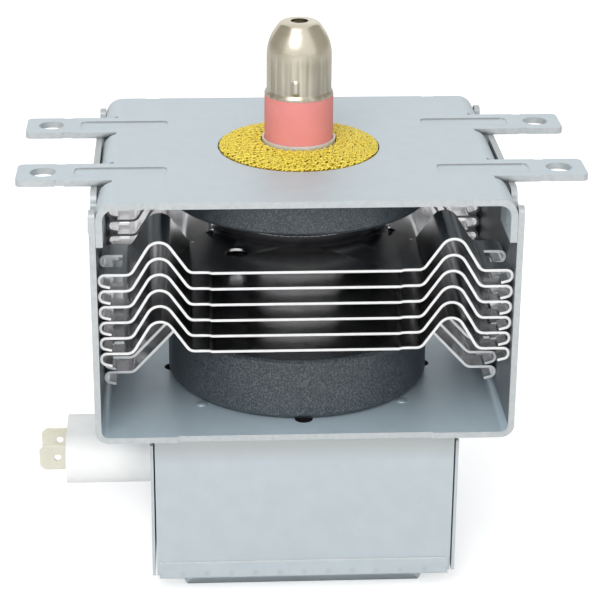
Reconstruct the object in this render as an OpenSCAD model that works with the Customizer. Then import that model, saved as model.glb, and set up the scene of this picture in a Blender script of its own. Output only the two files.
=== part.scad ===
// Continuous-wave magnetron of the kind used in microwave ovens: a finned anode between two ring
// magnets inside a pair of folded steel yokes, an antenna on top and a filter box underneath.
// Origin: antenna axis at the upper face of the mounting plate, +Z out along the antenna.

/* [Mounting ears] */
// Distance between ear holes across the width
ear_pitch_x = 115.5; // [113:0.5:120]
// Distance between ear holes from front to rear
ear_pitch_y = 34; // [31:0.5:37]
// Diameter of the ear holes
ear_hole_d = 5.9; // [4:0.1:7]
// Width of one ear
ear_w = 11.2; // [10:0.1:12]
// Distance from the ear hole's centre to the tip
ear_overhang = 5.85; // [5:0.05:8]
// Corner radius at the ear's tip
ear_corner_r = 1.5; // [0.5:0.1:3]
// Width of the relief slit beside each ear
ear_slit_w = 1.3; // [0.8:0.1:1.8]
// Width of the stiffening bead along each ear
bead_w = 5.6; // [4:0.1:7]
// Depth of the stiffening bead
bead_depth = 0.35; // [0.2:0.05:0.6]
// Distance from the axis to the inner end of a bead
bead_in_x = 30.2; // [26:0.1:34]
// Distance from the axis to the outer end of a bead
bead_out_x = 50.9; // [49:0.1:52]
// Width of the sheared tie-bar nick at the ear's edge
ear_nick_w = 2; // [1:0.1:3]
// Distance from the ear hole to the nick, towards the plate
ear_nick_back = 3.8; // [3:0.1:6]
// Depth of the sheared tie-bar nicks
nick_depth = 0.35; // [0.2:0.05:0.6]

/* [Upper yoke] */
// Depth of both yokes from front to rear
yoke_depth = 76.4; // [75:0.1:84]
// Sheet thickness of the upper yoke
plate_t = 1.5; // [1.2:0.05:2]
// Height of the flanges folded down from the plate
flange_h = 10; // [8.5:0.5:12]
// Outer bend radius of the flanges
plate_bend_r = 4; // [3:0.1:5]
// Diameter of the gasket opening in the plate
gasket_hole_d = 37.4; // [36:0.1:40]
// Distance from the axis to the nick at the plate's front edge
plate_nick_x = 34.1; // [30:0.1:38]
// Width of the nick at the plate's front edge
plate_nick_w = 3.1; // [2:0.1:4]

/* [Lower yoke] */
// Outer width of the lower yoke
yoke_w = 94; // [92:0.2:98]
// Sheet thickness of the lower yoke
yoke_t = 1.4; // [1.2:0.05:1.8]
// Outer bend radius between floor and walls
yoke_bend_r = 3; // [2.5:0.1:4]
// Gap between the upper yoke's flanges and the walls
yoke_fit = 0.05; // [0.02:0.01:0.2]
// Gap between the tops of the walls and the ears
wall_top_gap = 0.05; // [0.02:0.01:0.3]
// Half length of the raised middle of a wall's top
tongue_half = 27.5; // [25:0.1:29]
// Corner radius of the raised middle
tongue_r = 2; // [1:0.1:3]
// Depth of the notches beside the raised middle, below the plate's face
wall_notch_z = 4.4; // [4:0.1:5]
// Corner radius in the notches
wall_notch_r = 0.8; // [0.3:0.1:1]
// Length of the end post beside each notch
post_w = 3.4; // [3:0.1:5]
// Drop of the end posts below the plate's face
post_drop = 2.2; // [1.8:0.1:2.6]
// Corner radius of the end posts
post_r = 1.1; // [0.5:0.1:1.4]
// Half length of the recess in the floor's front and rear edges
edge_recess_half = 28.6; // [20:0.2:34]
// Depth of that recess
edge_recess = 0.5; // [0.3:0.1:0.8]
// Diameter of the pierced holes at the lower magnet's foot
floor_hole_d = 4.2; // [3:0.1:5]
// Distance that a pierced hole's centre lies inside the magnet's rim
floor_hole_inset = 1.0; // [0.5:0.1:1.5]
// Radial clearance of the floor's opening around the lower seal cup
floor_clear = 2.6; // [1.5:0.1:4]

/* [Magnets] */
// Outer diameter of the ring magnets
magnet_d = 61.6; // [58:0.2:63]
// Radial clearance of the magnets' bores around the seal cups
magnet_bore_clear = 1.6; // [0.8:0.1:3]
// Height of the upper magnet
upper_magnet_h = 9.4; // [8.5:0.1:12]
// Height of the lower magnet
lower_magnet_h = 14.8; // [14:0.1:18]
// Chamfer on the magnets' rims
magnet_chamfer = 0.8; // [0.4:0.1:1.2]
// Chamfer at the foot of the lower magnet
magnet_foot = 1.2; // [1.1:0.1:1.6]

/* [Anode] */
// Outer diameter of the anode cylinder
anode_d = 39; // [38:0.1:40]
// Wall of the anode cylinder
anode_wall = 2; // [1.6:0.1:2.4]
// Height of the anode cylinder
anode_h = 25.7; // [25:0.1:28]
// Thickness of the anode vanes
vane_t = 1.8; // [1.4:0.1:2]
// Height of the anode vanes
vane_h = 8.9; // [8.5:0.1:9.5]
// Radius of the space inside the vane tips
vane_tip_r = 4.4; // [4.2:0.05:4.6]
// Mean radius of the inner strap rings
strap_in_r = 6.3; // [6.2:0.05:6.4]
// Mean radius of the outer strap rings
strap_out_r = 7.9; // [7.8:0.05:8]
// Radial thickness of the strap rings
strap_t = 0.8; // [0.6:0.05:0.8]
// Height of the strap rings
strap_h = 1.4; // [1:0.1:1.6]
// Clearance around the straps where a vane doesn't touch them
strap_clear = 0.35; // [0.2:0.05:0.4]
// Gap filled by brazing metal or a press fit
braze_gap = 0.05; // [0.02:0.01:0.08]

/* [Pole pieces and seal cups] */
// Thickness of the pole pieces
pole_t = 1.6; // [1.4:0.1:1.8]
// Depth of the pole pieces' cones
pole_cone_h = 7.2; // [6.8:0.1:7.4]
// Distance from the anode's bore to the start of a pole piece's cone
pole_cone_gap = 1.9; // [1.5:0.1:2.5]
// Outer radius of a pole piece's flat tip
pole_tip_r = 7; // [6.5:0.1:7.5]
// Radius of the hole in a pole piece
pole_hole_r = 4.7; // [4.6:0.05:5]
// Sheet thickness of the seal cups
seal_t = 0.5; // [0.4:0.05:0.6]
// Height of the output cup's rim above the plate
seal_rim_z = 2.4; // [1.6:0.1:3]
// Length of the antenna ceramic inside the cup's rim
seal_grip = 1.5; // [1:0.1:2]
// Outer radius of the input seal cup's tube
input_tube_r = 8.9; // [8.6:0.1:9.4]
// Length of the input seal cup below the lower yoke's floor
input_tube_drop = 4; // [3:0.1:5]

/* [Antenna] */
// Outer diameter of the antenna ceramic
ceramic_d = 15.8; // [15:0.1:16.4]
// Wall of the antenna ceramic
ceramic_wall = 1.9; // [1.5:0.1:2]
// Height of the ceramic's upper end above the plate
ceramic_top_z = 12.7; // [11:0.1:15]
// Outer diameter of the antenna cap
cap_d = 14.84; // [14.4:0.02:15]
// Sheet thickness of the antenna cap
cap_t = 0.42; // [0.3:0.02:0.5]
// Height of the antenna cap
cap_h = 16.9; // [16:0.1:19]
// Height of the flared rim of the cap
cap_flare_h = 1.1; // [0.8:0.1:2]
// Height of the cap's tapered nose
cap_nose_h = 4.6; // [4:0.1:5.5]
// Radius at the cap's nose where its flat end starts
cap_nose_r = 4.2; // [3.8:0.1:4.6]
// Radius of the curve from the cap's wall to its nose
cap_shoulder_r = 10; // [6:0.1:12]
// Radius of the curve at the cap's flat end
cap_end_r = 1.5; // [1:0.1:1.8]
// Diameter of the hole in the cap's end
cap_hole_d = 4; // [3:0.1:5]
// Height of the sleeve inside the cap
sleeve_h = 7.3; // [6:0.1:8]
// Radius of the copper exhaust tube
exhaust_r = 2.5; // [2.2:0.1:2.8]
// Wall of the exhaust tube
exhaust_wall = 0.8; // [0.6:0.1:0.9]
// Length of the exhaust tube's round part
exhaust_h = 7; // [6:0.1:8]
// Length of the exhaust tube's pinched end
pinch_h = 2.6; // [2:0.1:3]
// Thickness of the pinched edge
pinch_t = 0.5; // [0.3:0.1:0.8]
// Radius of the antenna lead
lead_r = 1.2; // [1:0.05:1.3]
// Distance from the axis to the lead's seat on its vane
lead_seat_x = 10.4; // [10:0.1:11]
// Clearance around the lead in the pole piece
lead_clear = 0.7; // [0.5:0.1:1]

/* [RF gasket] */
// Height of the gasket above the plate
gasket_rise = 0.8; // [0.6:0.1:1.6]
// Thickness of the ring under the gasket
gasket_ring_t = 0.5; // [0.3:0.05:0.7]
// Clearance of the gasket and its ring in the plate's opening
gasket_clear = 0.25; // [0.1:0.05:0.5]
// Number of wound rows across the gasket
gasket_rows = 7; // [5:1:9]
// Depth of the grooves between the rows
gasket_groove = 0.3; // [0.15:0.05:0.5]

/* [Cooling fins] */
// Sheet thickness of the fins
fin_t = 0.6; // [0.4:0.05:0.7]
// Depth of the fins from front to rear
fin_depth = 72; // [68:0.2:74]
// Spacing of the fins
fin_pitch = 3.73; // [3.7:0.01:4]
// Drop of the first fin below the anode's upper end
first_fin_drop = 3.9; // [3.6:0.1:4.4]
// Clearance of the fins' collars on the anode
fin_fit = 0.05; // [0.02:0.01:0.08]
// Height of the fins' collars
fin_collar_h = 2; // [1:0.1:2.6]
// Distance from the axis to the slits that part the strips
fin_slit_y = 18; // [17:0.1:19]
// Width of those slits
fin_slit_w = 0.4; // [0.2:0.05:0.8]
// Distance from the axis to the start of the slits
fin_slit_x = 24.4; // [23:0.1:24.5]
// Distance from the axis to the fold of the outer strips
fin_fold_x = 25.6; // [25.5:0.05:26.5]
// Height of the outer strips' crest before rounding
crest_h = 9.6; // [8.5:0.1:9.8]
// Rise angle on the inner side of the crest
crest_rise = 55; // [52:1:58]
// Fall angle on the outer side of the crest
crest_fall = 59; // [56:1:62]
// Radius of the crest
crest_r = 3; // [2:0.1:3.2]
// Radius of the fin's other folds
fold_r = 2; // [1:0.1:2.1]
// Drop of the outer tabs below the fin's flat
tab_drop = 0.4; // [0.2:0.1:0.5]
// Radius of the hooked ends
hook_r = 1.2; // [1:0.05:1.25]
// Length of the hooks' flat against the wall
hook_flat = 0.2; // [0.1:0.05:0.3]
// Length of the hooks' straight tails
hook_tail = 1.2; // [0.8:0.1:1.5]
// Slope of the hooks' tails
hook_tilt = 14; // [8:1:16]
// Gap between hooks and the yoke's walls
fin_wall_gap = 0.1; // [0.05:0.05:0.3]
// Fall angle of the middle strips
middle_fall = 47.2; // [46:0.2:50]
// Length of the middle strips' tabs
middle_tab = 6.8; // [6:0.1:7.4]
// Gap between the lowest middle strip and the lower magnet
middle_clear = 0.25; // [0.2:0.05:0.6]
// Distance from the axis to the notches in the outer tabs
tab_notch_y = 24.5; // [22:0.1:26]
// Length of the notches in the tabs
tab_notch_w = 7.2; // [5:0.1:8]
// Reach of the notches from the wall
tab_notch_reach = 5.3; // [4:0.1:5.6]
// Distance from the axis to the notches in the middle tabs
middle_notch_y = 4.5; // [3:0.1:6]
// Distance from the axis to the small step in the flat
joggle_x = 21; // [20.8:0.1:22]
// Height of that step
joggle = 0.22; // [0.1:0.02:0.3]
// Length of that step
joggle_run = 0.6; // [0.4:0.1:1]
// Diameter of the pierced holes in the flat
fin_hole_d = 5.3; // [4:0.1:6]
// Sideways place of the pierced holes
fin_hole_x = 15; // [14:0.1:17]
// Front and rear place of the pierced holes
fin_hole_y = 24.5; // [24:0.1:27]
// Width of the lanced flaps
lance_w = 2.4; // [2:0.1:4]
// Height of the lanced flaps at their higher end
lance_h = 1.3; // [1:0.1:2]
// Sideways place of the lanced flaps
lance_x = 21.2; // [21:0.1:22]
// Front and rear place of the lanced flaps
lance_y = 12; // [11.5:0.1:13]

/* [Cathode] */
// Mean radius of the filament
filament_r = 1.95; // [1.8:0.05:2.1]
// Radius of the filament's wire
filament_wire_r = 0.28; // [0.2:0.02:0.32]
// Turns of the filament
filament_turns = 8; // [6:1:10]
// Radius of the upper end hat
upper_hat_r = 3.6; // [3.4:0.1:3.8]
// Radius of the lower end hat
lower_hat_r = 4.3; // [4.2:0.05:4.4]
// Thickness of the end hats
hat_t = 1.3; // [1:0.1:1.5]
// Radius of the cathode leads
cathode_lead_r = 0.75; // [0.6:0.05:0.8]
// Distance of the leads from the axis in the stem
stem_lead_x = 3.4; // [3.3:0.05:3.5]
// Radius of the ceramic spacer on the leads
spacer_r = 6.5; // [5.5:0.1:7.5]
// Thickness of the ceramic spacer
spacer_t = 2.5; // [2:0.1:3]
// Length of the stem ceramic
stem_h = 7; // [6:0.1:8]
// Length of the stem ceramic inside the input cup
stem_grip = 2; // [1.5:0.1:2.5]
// Length of the leads below the stem ceramic
stem_lead_drop = 5; // [4.5:0.1:6]
// Radius of the brazed washers on the stem
stem_washer_r = 2.2; // [1.8:0.1:2.6]
// Thickness of the brazed washers
stem_washer_t = 0.6; // [0.4:0.1:1]

/* [Filter box] */
// Outer width of the filter box
box_w = 70; // [66:0.2:74]
// Outer depth of the filter box
box_depth = 72; // [68:0.2:74]
// Height of the filter box below the yoke
box_h = 35.2; // [33:0.1:40]
// Sheet thickness of the filter box and its lid
box_t = 0.7; // [0.5:0.05:0.9]
// Outer bend radius of the filter box
box_bend_r = 1.4; // [1.2:0.1:2]
// Width of the open seams at the box's corners
box_seam = 0.35; // [0.2:0.05:0.6]
// Height of the lid's folded lips
lid_lip_h = 4.2; // [3:0.1:6]
// Distance that the lid's lips stop short of the box's sides
lid_inset = 1.6; // [1:0.1:3]
// Gap between the lid and the box
lid_fit = 0.05; // [0.02:0.01:0.2]
// Depth of the lid's drawn dish
dish_h = 4.2; // [2.6:0.1:5]
// Width of the dish's flat base
dish_w = 54; // [46:0.2:56]
// Depth of the dish's flat base
dish_depth = 63; // [46:0.2:64]
// Sideways run of the dish's sloping sides
dish_run = 2.4; // [1:0.1:2.8]
// Corner radius of the dish
dish_corner_r = 7; // [4:0.1:9]

/* [Feed-through capacitor] */
// Drop of the capacitor's centre below the yoke
cap_drop = 20; // [17:0.1:21]
// Height of the capacitor's body
cap_body_h = 12.4; // [10:0.1:13]
// Distance between the two terminals
terminal_pitch = 9.6; // [9:0.1:11]
// Length of the body outside the box
cap_body_out = 20.8; // [18:0.1:22]
// Length of the body inside the box's wall
cap_body_in = 7; // [6:0.1:8]
// Clearance of the body in the box's wall and the flange
cap_body_fit = 0.05; // [0.02:0.01:0.2]
// Thickness of the capacitor's flange
cap_flange_t = 0.8; // [0.6:0.1:1]
// Margin of the flange around the body
cap_flange_rim = 3.4; // [2.5:0.1:4]
// Length of each ear of the flange beyond its margin
cap_flange_ear = 3.4; // [3:0.1:4]
// Step by which the body's shoulder overlaps the flange
cap_shoulder = 1; // [0.6:0.1:1.5]
// Thickness of the body's shoulder
cap_shoulder_t = 1.6; // [1:0.1:2]
// Width of a terminal tab
tab_w = 6.3; // [4.7:0.1:6.3]
// Thickness of a terminal tab
tab_t = 0.8; // [0.5:0.1:0.8]
// Length of a terminal tab beyond the body
tab_len = 6.6; // [5:0.1:8]
// Corner chamfer of a terminal tab
tab_chamfer = 1.2; // [0.6:0.1:1.6]
// Diameter of the detent hole in a tab
tab_hole_d = 1.7; // [1.4:0.1:2]
// Distance from the body to the detent hole
tab_hole_x = 2.2; // [1.6:0.1:3]
// Depth of the pockets around the tabs
pocket_depth = 3; // [2:0.1:4]
// Width of the gap around a tab in its pocket
pocket_gap = 0.7; // [0.4:0.1:0.9]
// Radius of the conductor through the body
conductor_r = 1.2; // [1:0.1:1.5]
// Length by which the conductor overlaps its tabs
conductor_lap = 0.6; // [0.3:0.1:0.7]
// Length of the tabs inside the box
inner_tab_len = 4; // [3:0.1:5]
// Width of the tabs inside the box
inner_tab_w = 5; // [4:0.1:6]

/* [Choke coils] */
// Mean radius of the choke coils
coil_r = 3.6; // [3.4:0.1:4]
// Radius of the choke wire
coil_wire_r = 0.7; // [0.6:0.05:0.75]
// Turns of each choke coil
coil_turns = 8; // [6:1:9]
// Radius of the ferrite cores
ferrite_r = 2.7; // [2.4:0.1:2.7]
// Share of a coil's length filled by its ferrite core
ferrite_share = 0.8; // [0.5:0.05:0.9]

/* [Rivets] */
// Radius of the yoke rivets' shanks
yoke_rivet_r = 1.2; // [1:0.1:1.5]
// Distance of the yoke rivets from the middle, front and rear
yoke_rivet_y = 31.4; // [29:0.1:33]
// Drop of the yoke rivets below the plate's face
yoke_rivet_z = 7.2; // [7:0.1:7.4]
// Radius of the yoke rivets' heads
yoke_head_r = 2; // [1.8:0.1:2.3]
// Height of the yoke and capacitor rivets' heads
head_h = 0.45; // [0.3:0.05:0.8]
// Radius of the box rivets' shanks
box_rivet_r = 0.8; // [0.6:0.05:0.9]
// Radius of the box rivets' heads
box_head_r = 1.3; // [1.2:0.05:1.6]
// Height of the box rivets' heads
box_head_h = 0.5; // [0.3:0.05:0.6]
// Gap between the box rivets' heads and the lower magnet's foot
box_rivet_gap = 0.5; // [0.4:0.05:1]
// Angle of the box rivets from the cross axis
box_rivet_angle = 42.3; // [38:0.1:48]
// Radius of the capacitor rivets' shanks
cap_rivet_r = 1; // [0.8:0.1:1.3]
// Radius of the capacitor rivets' heads
cap_head_r = 1.8; // [1.6:0.1:2.2]

/* [Hidden] */
$fn = 64;

// Degrees of turn from point to point of a rounded fold, and a length that reaches past any piece it cuts
arc_step = 12;
cut = 100;
fins = 6;
vanes = 10;
wire_sides = 6;
bend_swell = 1.04;
turn_steps = 12;
both = [-1, 1];

// Heights of the stack from the plate's face down
upper_magnet_z = -plate_t - upper_magnet_h;
upper_pole_z = upper_magnet_z - seal_t;
anode_top_z = upper_pole_z - pole_t;
anode_mid_z = anode_top_z - anode_h / 2;
lower_magnet_top_z = 2 * anode_mid_z - upper_magnet_z;
floor_z = lower_magnet_top_z - lower_magnet_h;
yoke_bottom_z = floor_z - yoke_t;
box_bottom_z = yoke_bottom_z - box_h;
lid_bottom_z = box_bottom_z - lid_fit - box_t;
base_z = lid_bottom_z - dish_h;

// Radii and half widths shared by neighbouring pieces
ceramic_r = ceramic_d / 2;
seal_in_r = ceramic_r + braze_gap;
seal_out_r = seal_in_r + seal_t;
magnet_r = magnet_d / 2;
magnet_bore_r = max(seal_out_r, input_tube_r) + magnet_bore_clear;
anode_r = anode_d / 2;
anode_in_r = anode_r - anode_wall;
pole_cone_r = anode_in_r - pole_cone_gap;
wall_in_x = yoke_w / 2 - yoke_t;
flange_out_x = wall_in_x - yoke_fit;
slit_start_x = flange_out_x - plate_bend_r + plate_t / 2;
ear_tip_x = ear_pitch_x / 2 + ear_overhang;
gasket_r = gasket_hole_d / 2 - gasket_clear;
gasket_in_r = seal_out_r + gasket_clear;

function unit(v) = v / norm(v);
function flat(p) = [p[0], p[1]];
function reversed(p) = [for (i = [len(p) - 1:-1:0]) p[i]];
function mirrored(p) = [for (q = reversed(p)) [-q[0], q[1]]];
function whole(half) = concat(mirrored(half), [for (i = [1:len(half) - 1]) half[i]]);

// Arc of radius r that rounds the corner b between a and c
function corner(a, b, c, r) =
    let (
        u = unit(a - b),
        v = unit(c - b),
        half = acos(u * v) / 2,
        mid = b + unit(u + v) * r / sin(half),
        from = b + u * r / tan(half) - mid,
        to = b + v * r / tan(half) - mid,
        start = atan2(from[1], from[0]),
        turn = sign(from[0] * to[1] - from[1] * to[0]) * (180 - 2 * half),
        steps = ceil(abs(turn) / arc_step)
    )
    [for (i = [0:steps]) mid + r * [cos(start + turn * i / steps), sin(start + turn * i / steps)]];

// Path through corners [x, y, radius], rounded unless the radius is zero; the ends stay as they are
function rounded(p) = [
    for (i = [0:len(p) - 1])
        each (i == 0 || i == len(p) - 1 || p[i][2] == 0)
            ? [flat(p[i])]
            : corner(flat(p[i - 1]), flat(p[i]), flat(p[i + 1]), p[i][2])
];

// Closed outline through corners [x, y, radius]
function rounded_loop(p) = [
    for (i = [0:len(p) - 1])
        each corner(flat(p[(i + len(p) - 1) % len(p)]), flat(p[i]), flat(p[(i + 1) % len(p)]), p[i][2])
];

// One side of a sheet whose middle follows path p
function sheet_side(p, d) = [
    for (i = [0:len(p) - 1])
        let (
            u = unit(i > 0 ? p[i] - p[i - 1] : p[1] - p[0]),
            v = unit(i < len(p) - 1 ? p[i + 1] - p[i] : p[i] - p[i - 1]),
            n = unit([-u[1] - v[1], u[0] + v[0]])
        )
        p[i] + n * d / (n * [-u[1], u[0]])
];
function sheet(p, t) = concat(sheet_side(p, t / 2), reversed(sheet_side(p, -t / 2)));
function rectangle(w, h, r) = rounded_loop([
    [-w / 2, -h / 2, r],
    [w / 2, -h / 2, r],
    [w / 2, h / 2, r],
    [-w / 2, h / 2, r]
]);

// Extrudes a front-view outline from y0 to y1
module along_y(points, y0, y1) {
    translate([0, y1, 0])
        rotate([90, 0, 0])
            linear_extrude(y1 - y0)
                polygon(points);
}

// Extrudes a side-view outline from x0 to x1
module along_x(points, x0, x1) {
    translate([x0, 0, 0])
        rotate([90, 0, 90])
            linear_extrude(x1 - x0)
                polygon(points);
}

module block(low, high) {
    translate(low)
        cube(high - low);
}

// Ring between two radii and two heights
module ring(r_in, r_out, z0, z1) {
    rotate_extrude()
        polygon([[r_in, z0], [r_out, z0], [r_out, z1], [r_in, z1]]);
}

module bore(r, z0, z1) {
    translate([0, 0, z0])
        cylinder(r = r, h = z1 - z0);
}

module bore_x(r, x0, x1) {
    translate([x0, 0, 0])
        rotate([0, 90, 0])
            cylinder(r = r, h = x1 - x0);
}

// Round bar from a to b with a slightly swollen ball at b, so that bars join into a bent rod
module bar(a, b, r) {
    d = b - a;
    translate(a)
        rotate([0, acos(d[2] / norm(d)), atan2(d[1], d[0])])
            cylinder(r = r, h = norm(d));
    translate(b)
        sphere(r * bend_swell);
}

// Bent wire of a few sides along a list of points; ref is never parallel to the wire
module wire(p, r, ref) {
    rings = [
        for (i = [0:len(p) - 1])
            let (
                t = unit(p[min(i + 1, len(p) - 1)] - p[max(i - 1, 0)]),
                a = unit(cross(t, ref)),
                b = cross(t, a)
            )
            for (k = [0:wire_sides - 1])
                p[i] + r * (a * cos(360 * k / wire_sides) + b * sin(360 * k / wire_sides))
    ];
    last = (len(p) - 1) * wire_sides;
    sides = [
        for (i = [0:len(p) - 2])
            for (k = [0:wire_sides - 1])
                let (n = (k + 1) % wire_sides, low = i * wire_sides, up = low + wire_sides)
                each [[low + k, up + k, up + n], [low + k, up + n, low + n]]
    ];
    ends = [
        [for (k = [0:wire_sides - 1]) k],
        [for (k = [wire_sides - 1:-1:0]) last + k]
    ];
    polyhedron(rings, concat(sides, ends));
}

// Ears, beads and slits of the mounting plate
module at_ears() {
    for (sx = both)
        for (sy = both)
            translate([0, sy * ear_pitch_y / 2, 0])
                mirror([sx < 0 ? 1 : 0, 0, 0])
                    children();
}

ear_outline = rounded([
    [slit_start_x - plate_bend_r, -ear_w / 2, 0],
    [ear_tip_x, -ear_w / 2, ear_corner_r],
    [ear_tip_x, ear_w / 2, ear_corner_r],
    [slit_start_x - plate_bend_r, ear_w / 2, 0]
]);

plate_half = rounded([
    [0, -plate_t / 2, 0],
    [flange_out_x - plate_t / 2, -plate_t / 2, plate_bend_r - plate_t / 2],
    [flange_out_x - plate_t / 2, -flange_h, 0]
]);

module upper_yoke() {
    color("#c6d2d8")
        difference() {
            union() {
                difference() {
                    along_y(sheet(whole(plate_half), plate_t), -yoke_depth / 2, yoke_depth / 2);
                    at_ears()
                        block(
                            [slit_start_x, -ear_w / 2 - ear_slit_w, -cut],
                            [cut, ear_w / 2 + ear_slit_w, cut]
                        );
                }
                at_ears()
                    translate([0, 0, -plate_t])
                        linear_extrude(plate_t)
                            polygon(ear_outline);
            }
            bore(gasket_hole_d / 2, -cut, cut);
            at_ears() {
                translate([ear_pitch_x / 2, 0, -cut])
                    cylinder(d = ear_hole_d, h = 2 * cut);
                translate([(bead_in_x + bead_out_x) / 2, 0, -bead_depth])
                    linear_extrude(cut)
                        polygon(rectangle(bead_out_x - bead_in_x, bead_w, bead_w / 4));
                for (sy = both)
                    translate([ear_pitch_x / 2 - ear_nick_back, sy * ear_w / 2, 0])
                        cube([ear_nick_w, 2 * nick_depth, cut], center = true);
            }
            for (sx = both)
                for (sy = both) {
                    translate([sx * plate_nick_x, sy * yoke_depth / 2, 0])
                        cube([plate_nick_w, 2 * nick_depth, cut], center = true);
                    translate([0, sy * yoke_rivet_y, -yoke_rivet_z])
                        bore_x(yoke_rivet_r + braze_gap, -cut, cut);
                }
        }
}

yoke_half = rounded([
    [0, floor_z - yoke_t / 2, 0],
    [yoke_w / 2 - yoke_t / 2, floor_z - yoke_t / 2, yoke_bend_r - yoke_t / 2],
    [yoke_w / 2 - yoke_t / 2, 0, 0]
]);

// Outline of a wall's top, from its middle to its end
wall_top_z = -plate_t - wall_top_gap;
wall_top_half = rounded([
    [0, wall_top_z, 0],
    [tongue_half, wall_top_z, tongue_r],
    [tongue_half, -wall_notch_z, wall_notch_r],
    [yoke_depth / 2 - post_w, -wall_notch_z, wall_notch_r],
    [yoke_depth / 2 - post_w, -post_drop, post_r],
    [yoke_depth / 2, -post_drop, post_r],
    [yoke_depth / 2, -wall_notch_z, 0]
]);
wall_top = concat(
    whole(wall_top_half),
    [[yoke_depth, -wall_notch_z], [yoke_depth, cut], [-yoke_depth, cut], [-yoke_depth, -wall_notch_z]]
);

box_rivet_circle = magnet_r - magnet_foot + box_head_r + box_rivet_gap;
module at_box_rivets() {
    for (a = [box_rivet_angle, 180 - box_rivet_angle, 180 + box_rivet_angle, -box_rivet_angle])
        rotate(a)
            translate([box_rivet_circle, 0, 0])
                children();
}

// Pierced holes at the lower magnet's foot, through the floor and the filter box's top
module floor_holes() {
    for (a = [0:90:270])
        rotate(a)
            translate([magnet_r - floor_hole_inset, 0, 0])
                bore(floor_hole_d / 2, yoke_bottom_z - yoke_t, floor_z + yoke_t);
}

module lower_yoke() {
    color("#b4c0c7")
        difference() {
            along_y(sheet(whole(yoke_half), yoke_t), -yoke_depth / 2, yoke_depth / 2);
            along_x(wall_top, -cut, cut);
            bore(input_tube_r + floor_clear, yoke_bottom_z - cut, floor_z + cut);
            floor_holes();
            at_box_rivets()
                bore(box_rivet_r + braze_gap, yoke_bottom_z - yoke_t, floor_z + yoke_t);
            for (sy = both) {
                translate([0, sy * yoke_depth / 2, floor_z])
                    cube([2 * edge_recess_half, 2 * edge_recess, 4 * yoke_t], center = true);
                translate([0, sy * yoke_rivet_y, -yoke_rivet_z])
                    bore_x(yoke_rivet_r + braze_gap, -cut, cut);
            }
        }
}

module yoke_rivets() {
    color("#aab4ba")
        for (sx = both)
            for (sy = both)
                mirror([sx < 0 ? 1 : 0, 0, 0])
                    translate([0, sy * yoke_rivet_y, -yoke_rivet_z]) {
                        bore_x(yoke_rivet_r, flange_out_x - plate_t, yoke_w / 2 + head_h);
                        bore_x(yoke_head_r, yoke_w / 2, yoke_w / 2 + head_h);
                    }
}

// Ring magnet with chamfered rims
module magnet(z0, z1, foot) {
    rotate_extrude()
        polygon([
            [magnet_bore_r, z0],
            [magnet_r - foot, z0],
            [magnet_r, z0 + foot],
            [magnet_r, z1 - magnet_chamfer],
            [magnet_r - magnet_chamfer, z1],
            [magnet_bore_r, z1]
        ]);
}

module upper_magnet() {
    color("#4a5056")
        magnet(upper_magnet_z, -plate_t, magnet_chamfer);
}

module lower_magnet() {
    color("#4a5056")
        magnet(floor_z, lower_magnet_top_z, magnet_foot);
}

// Folded profile of a fin, from its middle to the hook at the wall
hook_x = wall_in_x - fin_wall_gap - fin_t / 2;
hook_drop = hook_flat + hook_r * (1 + tan((90 - hook_tilt) / 2));
crest_x = fin_fold_x + crest_h / tan(crest_rise);
tab_x = crest_x + (crest_h + tab_drop) / tan(crest_fall);
lowest_fin_z = anode_top_z - first_fin_drop - (fins - 1) * fin_pitch;
middle_fold_x = magnet_r + middle_clear
    - (lowest_fin_z - lower_magnet_top_z - fin_t / 2 / cos(middle_fall)) / tan(middle_fall);
middle_tab_x = wall_in_x - middle_tab;
middle_drop = (middle_tab_x - middle_fold_x) * tan(middle_fall);

function fin_flat() = [
    [0, -joggle, 0],
    [joggle_x - joggle_run / 2, -joggle, 0],
    [joggle_x + joggle_run / 2, 0, 0]
];
function fin_hook(z) = [
    [hook_x, z, hook_r],
    [hook_x, z - hook_drop, hook_r],
    [hook_x - hook_r - hook_tail * cos(hook_tilt), z - hook_drop - (hook_r + hook_tail) * sin(hook_tilt), 0]
];
outer_half = rounded(concat(
    fin_flat(),
    [[fin_fold_x, 0, fold_r], [crest_x, crest_h, crest_r], [tab_x, -tab_drop, fold_r]],
    fin_hook(-tab_drop)
));
middle_half = rounded(concat(
    fin_flat(),
    [[middle_fold_x, 0, fold_r], [middle_tab_x, -middle_drop, fold_r]],
    fin_hook(-middle_drop)
));
bridge_half = rounded(concat(fin_flat(), [[fin_slit_x, 0, 0]]));

module fin_strip(half, y0, y1) {
    along_y(sheet(whole(half), fin_t), y0, y1);
}

module fin_notches(y, z) {
    for (sx = both)
        for (sy = both)
            mirror([sx < 0 ? 1 : 0, 0, 0])
                mirror([0, sy < 0 ? 1 : 0, 0])
                    block(
                        [wall_in_x - tab_notch_reach, y, z - 2 * hook_drop],
                        [wall_in_x, y + tab_notch_w, z + hook_drop]
                    );
}

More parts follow.
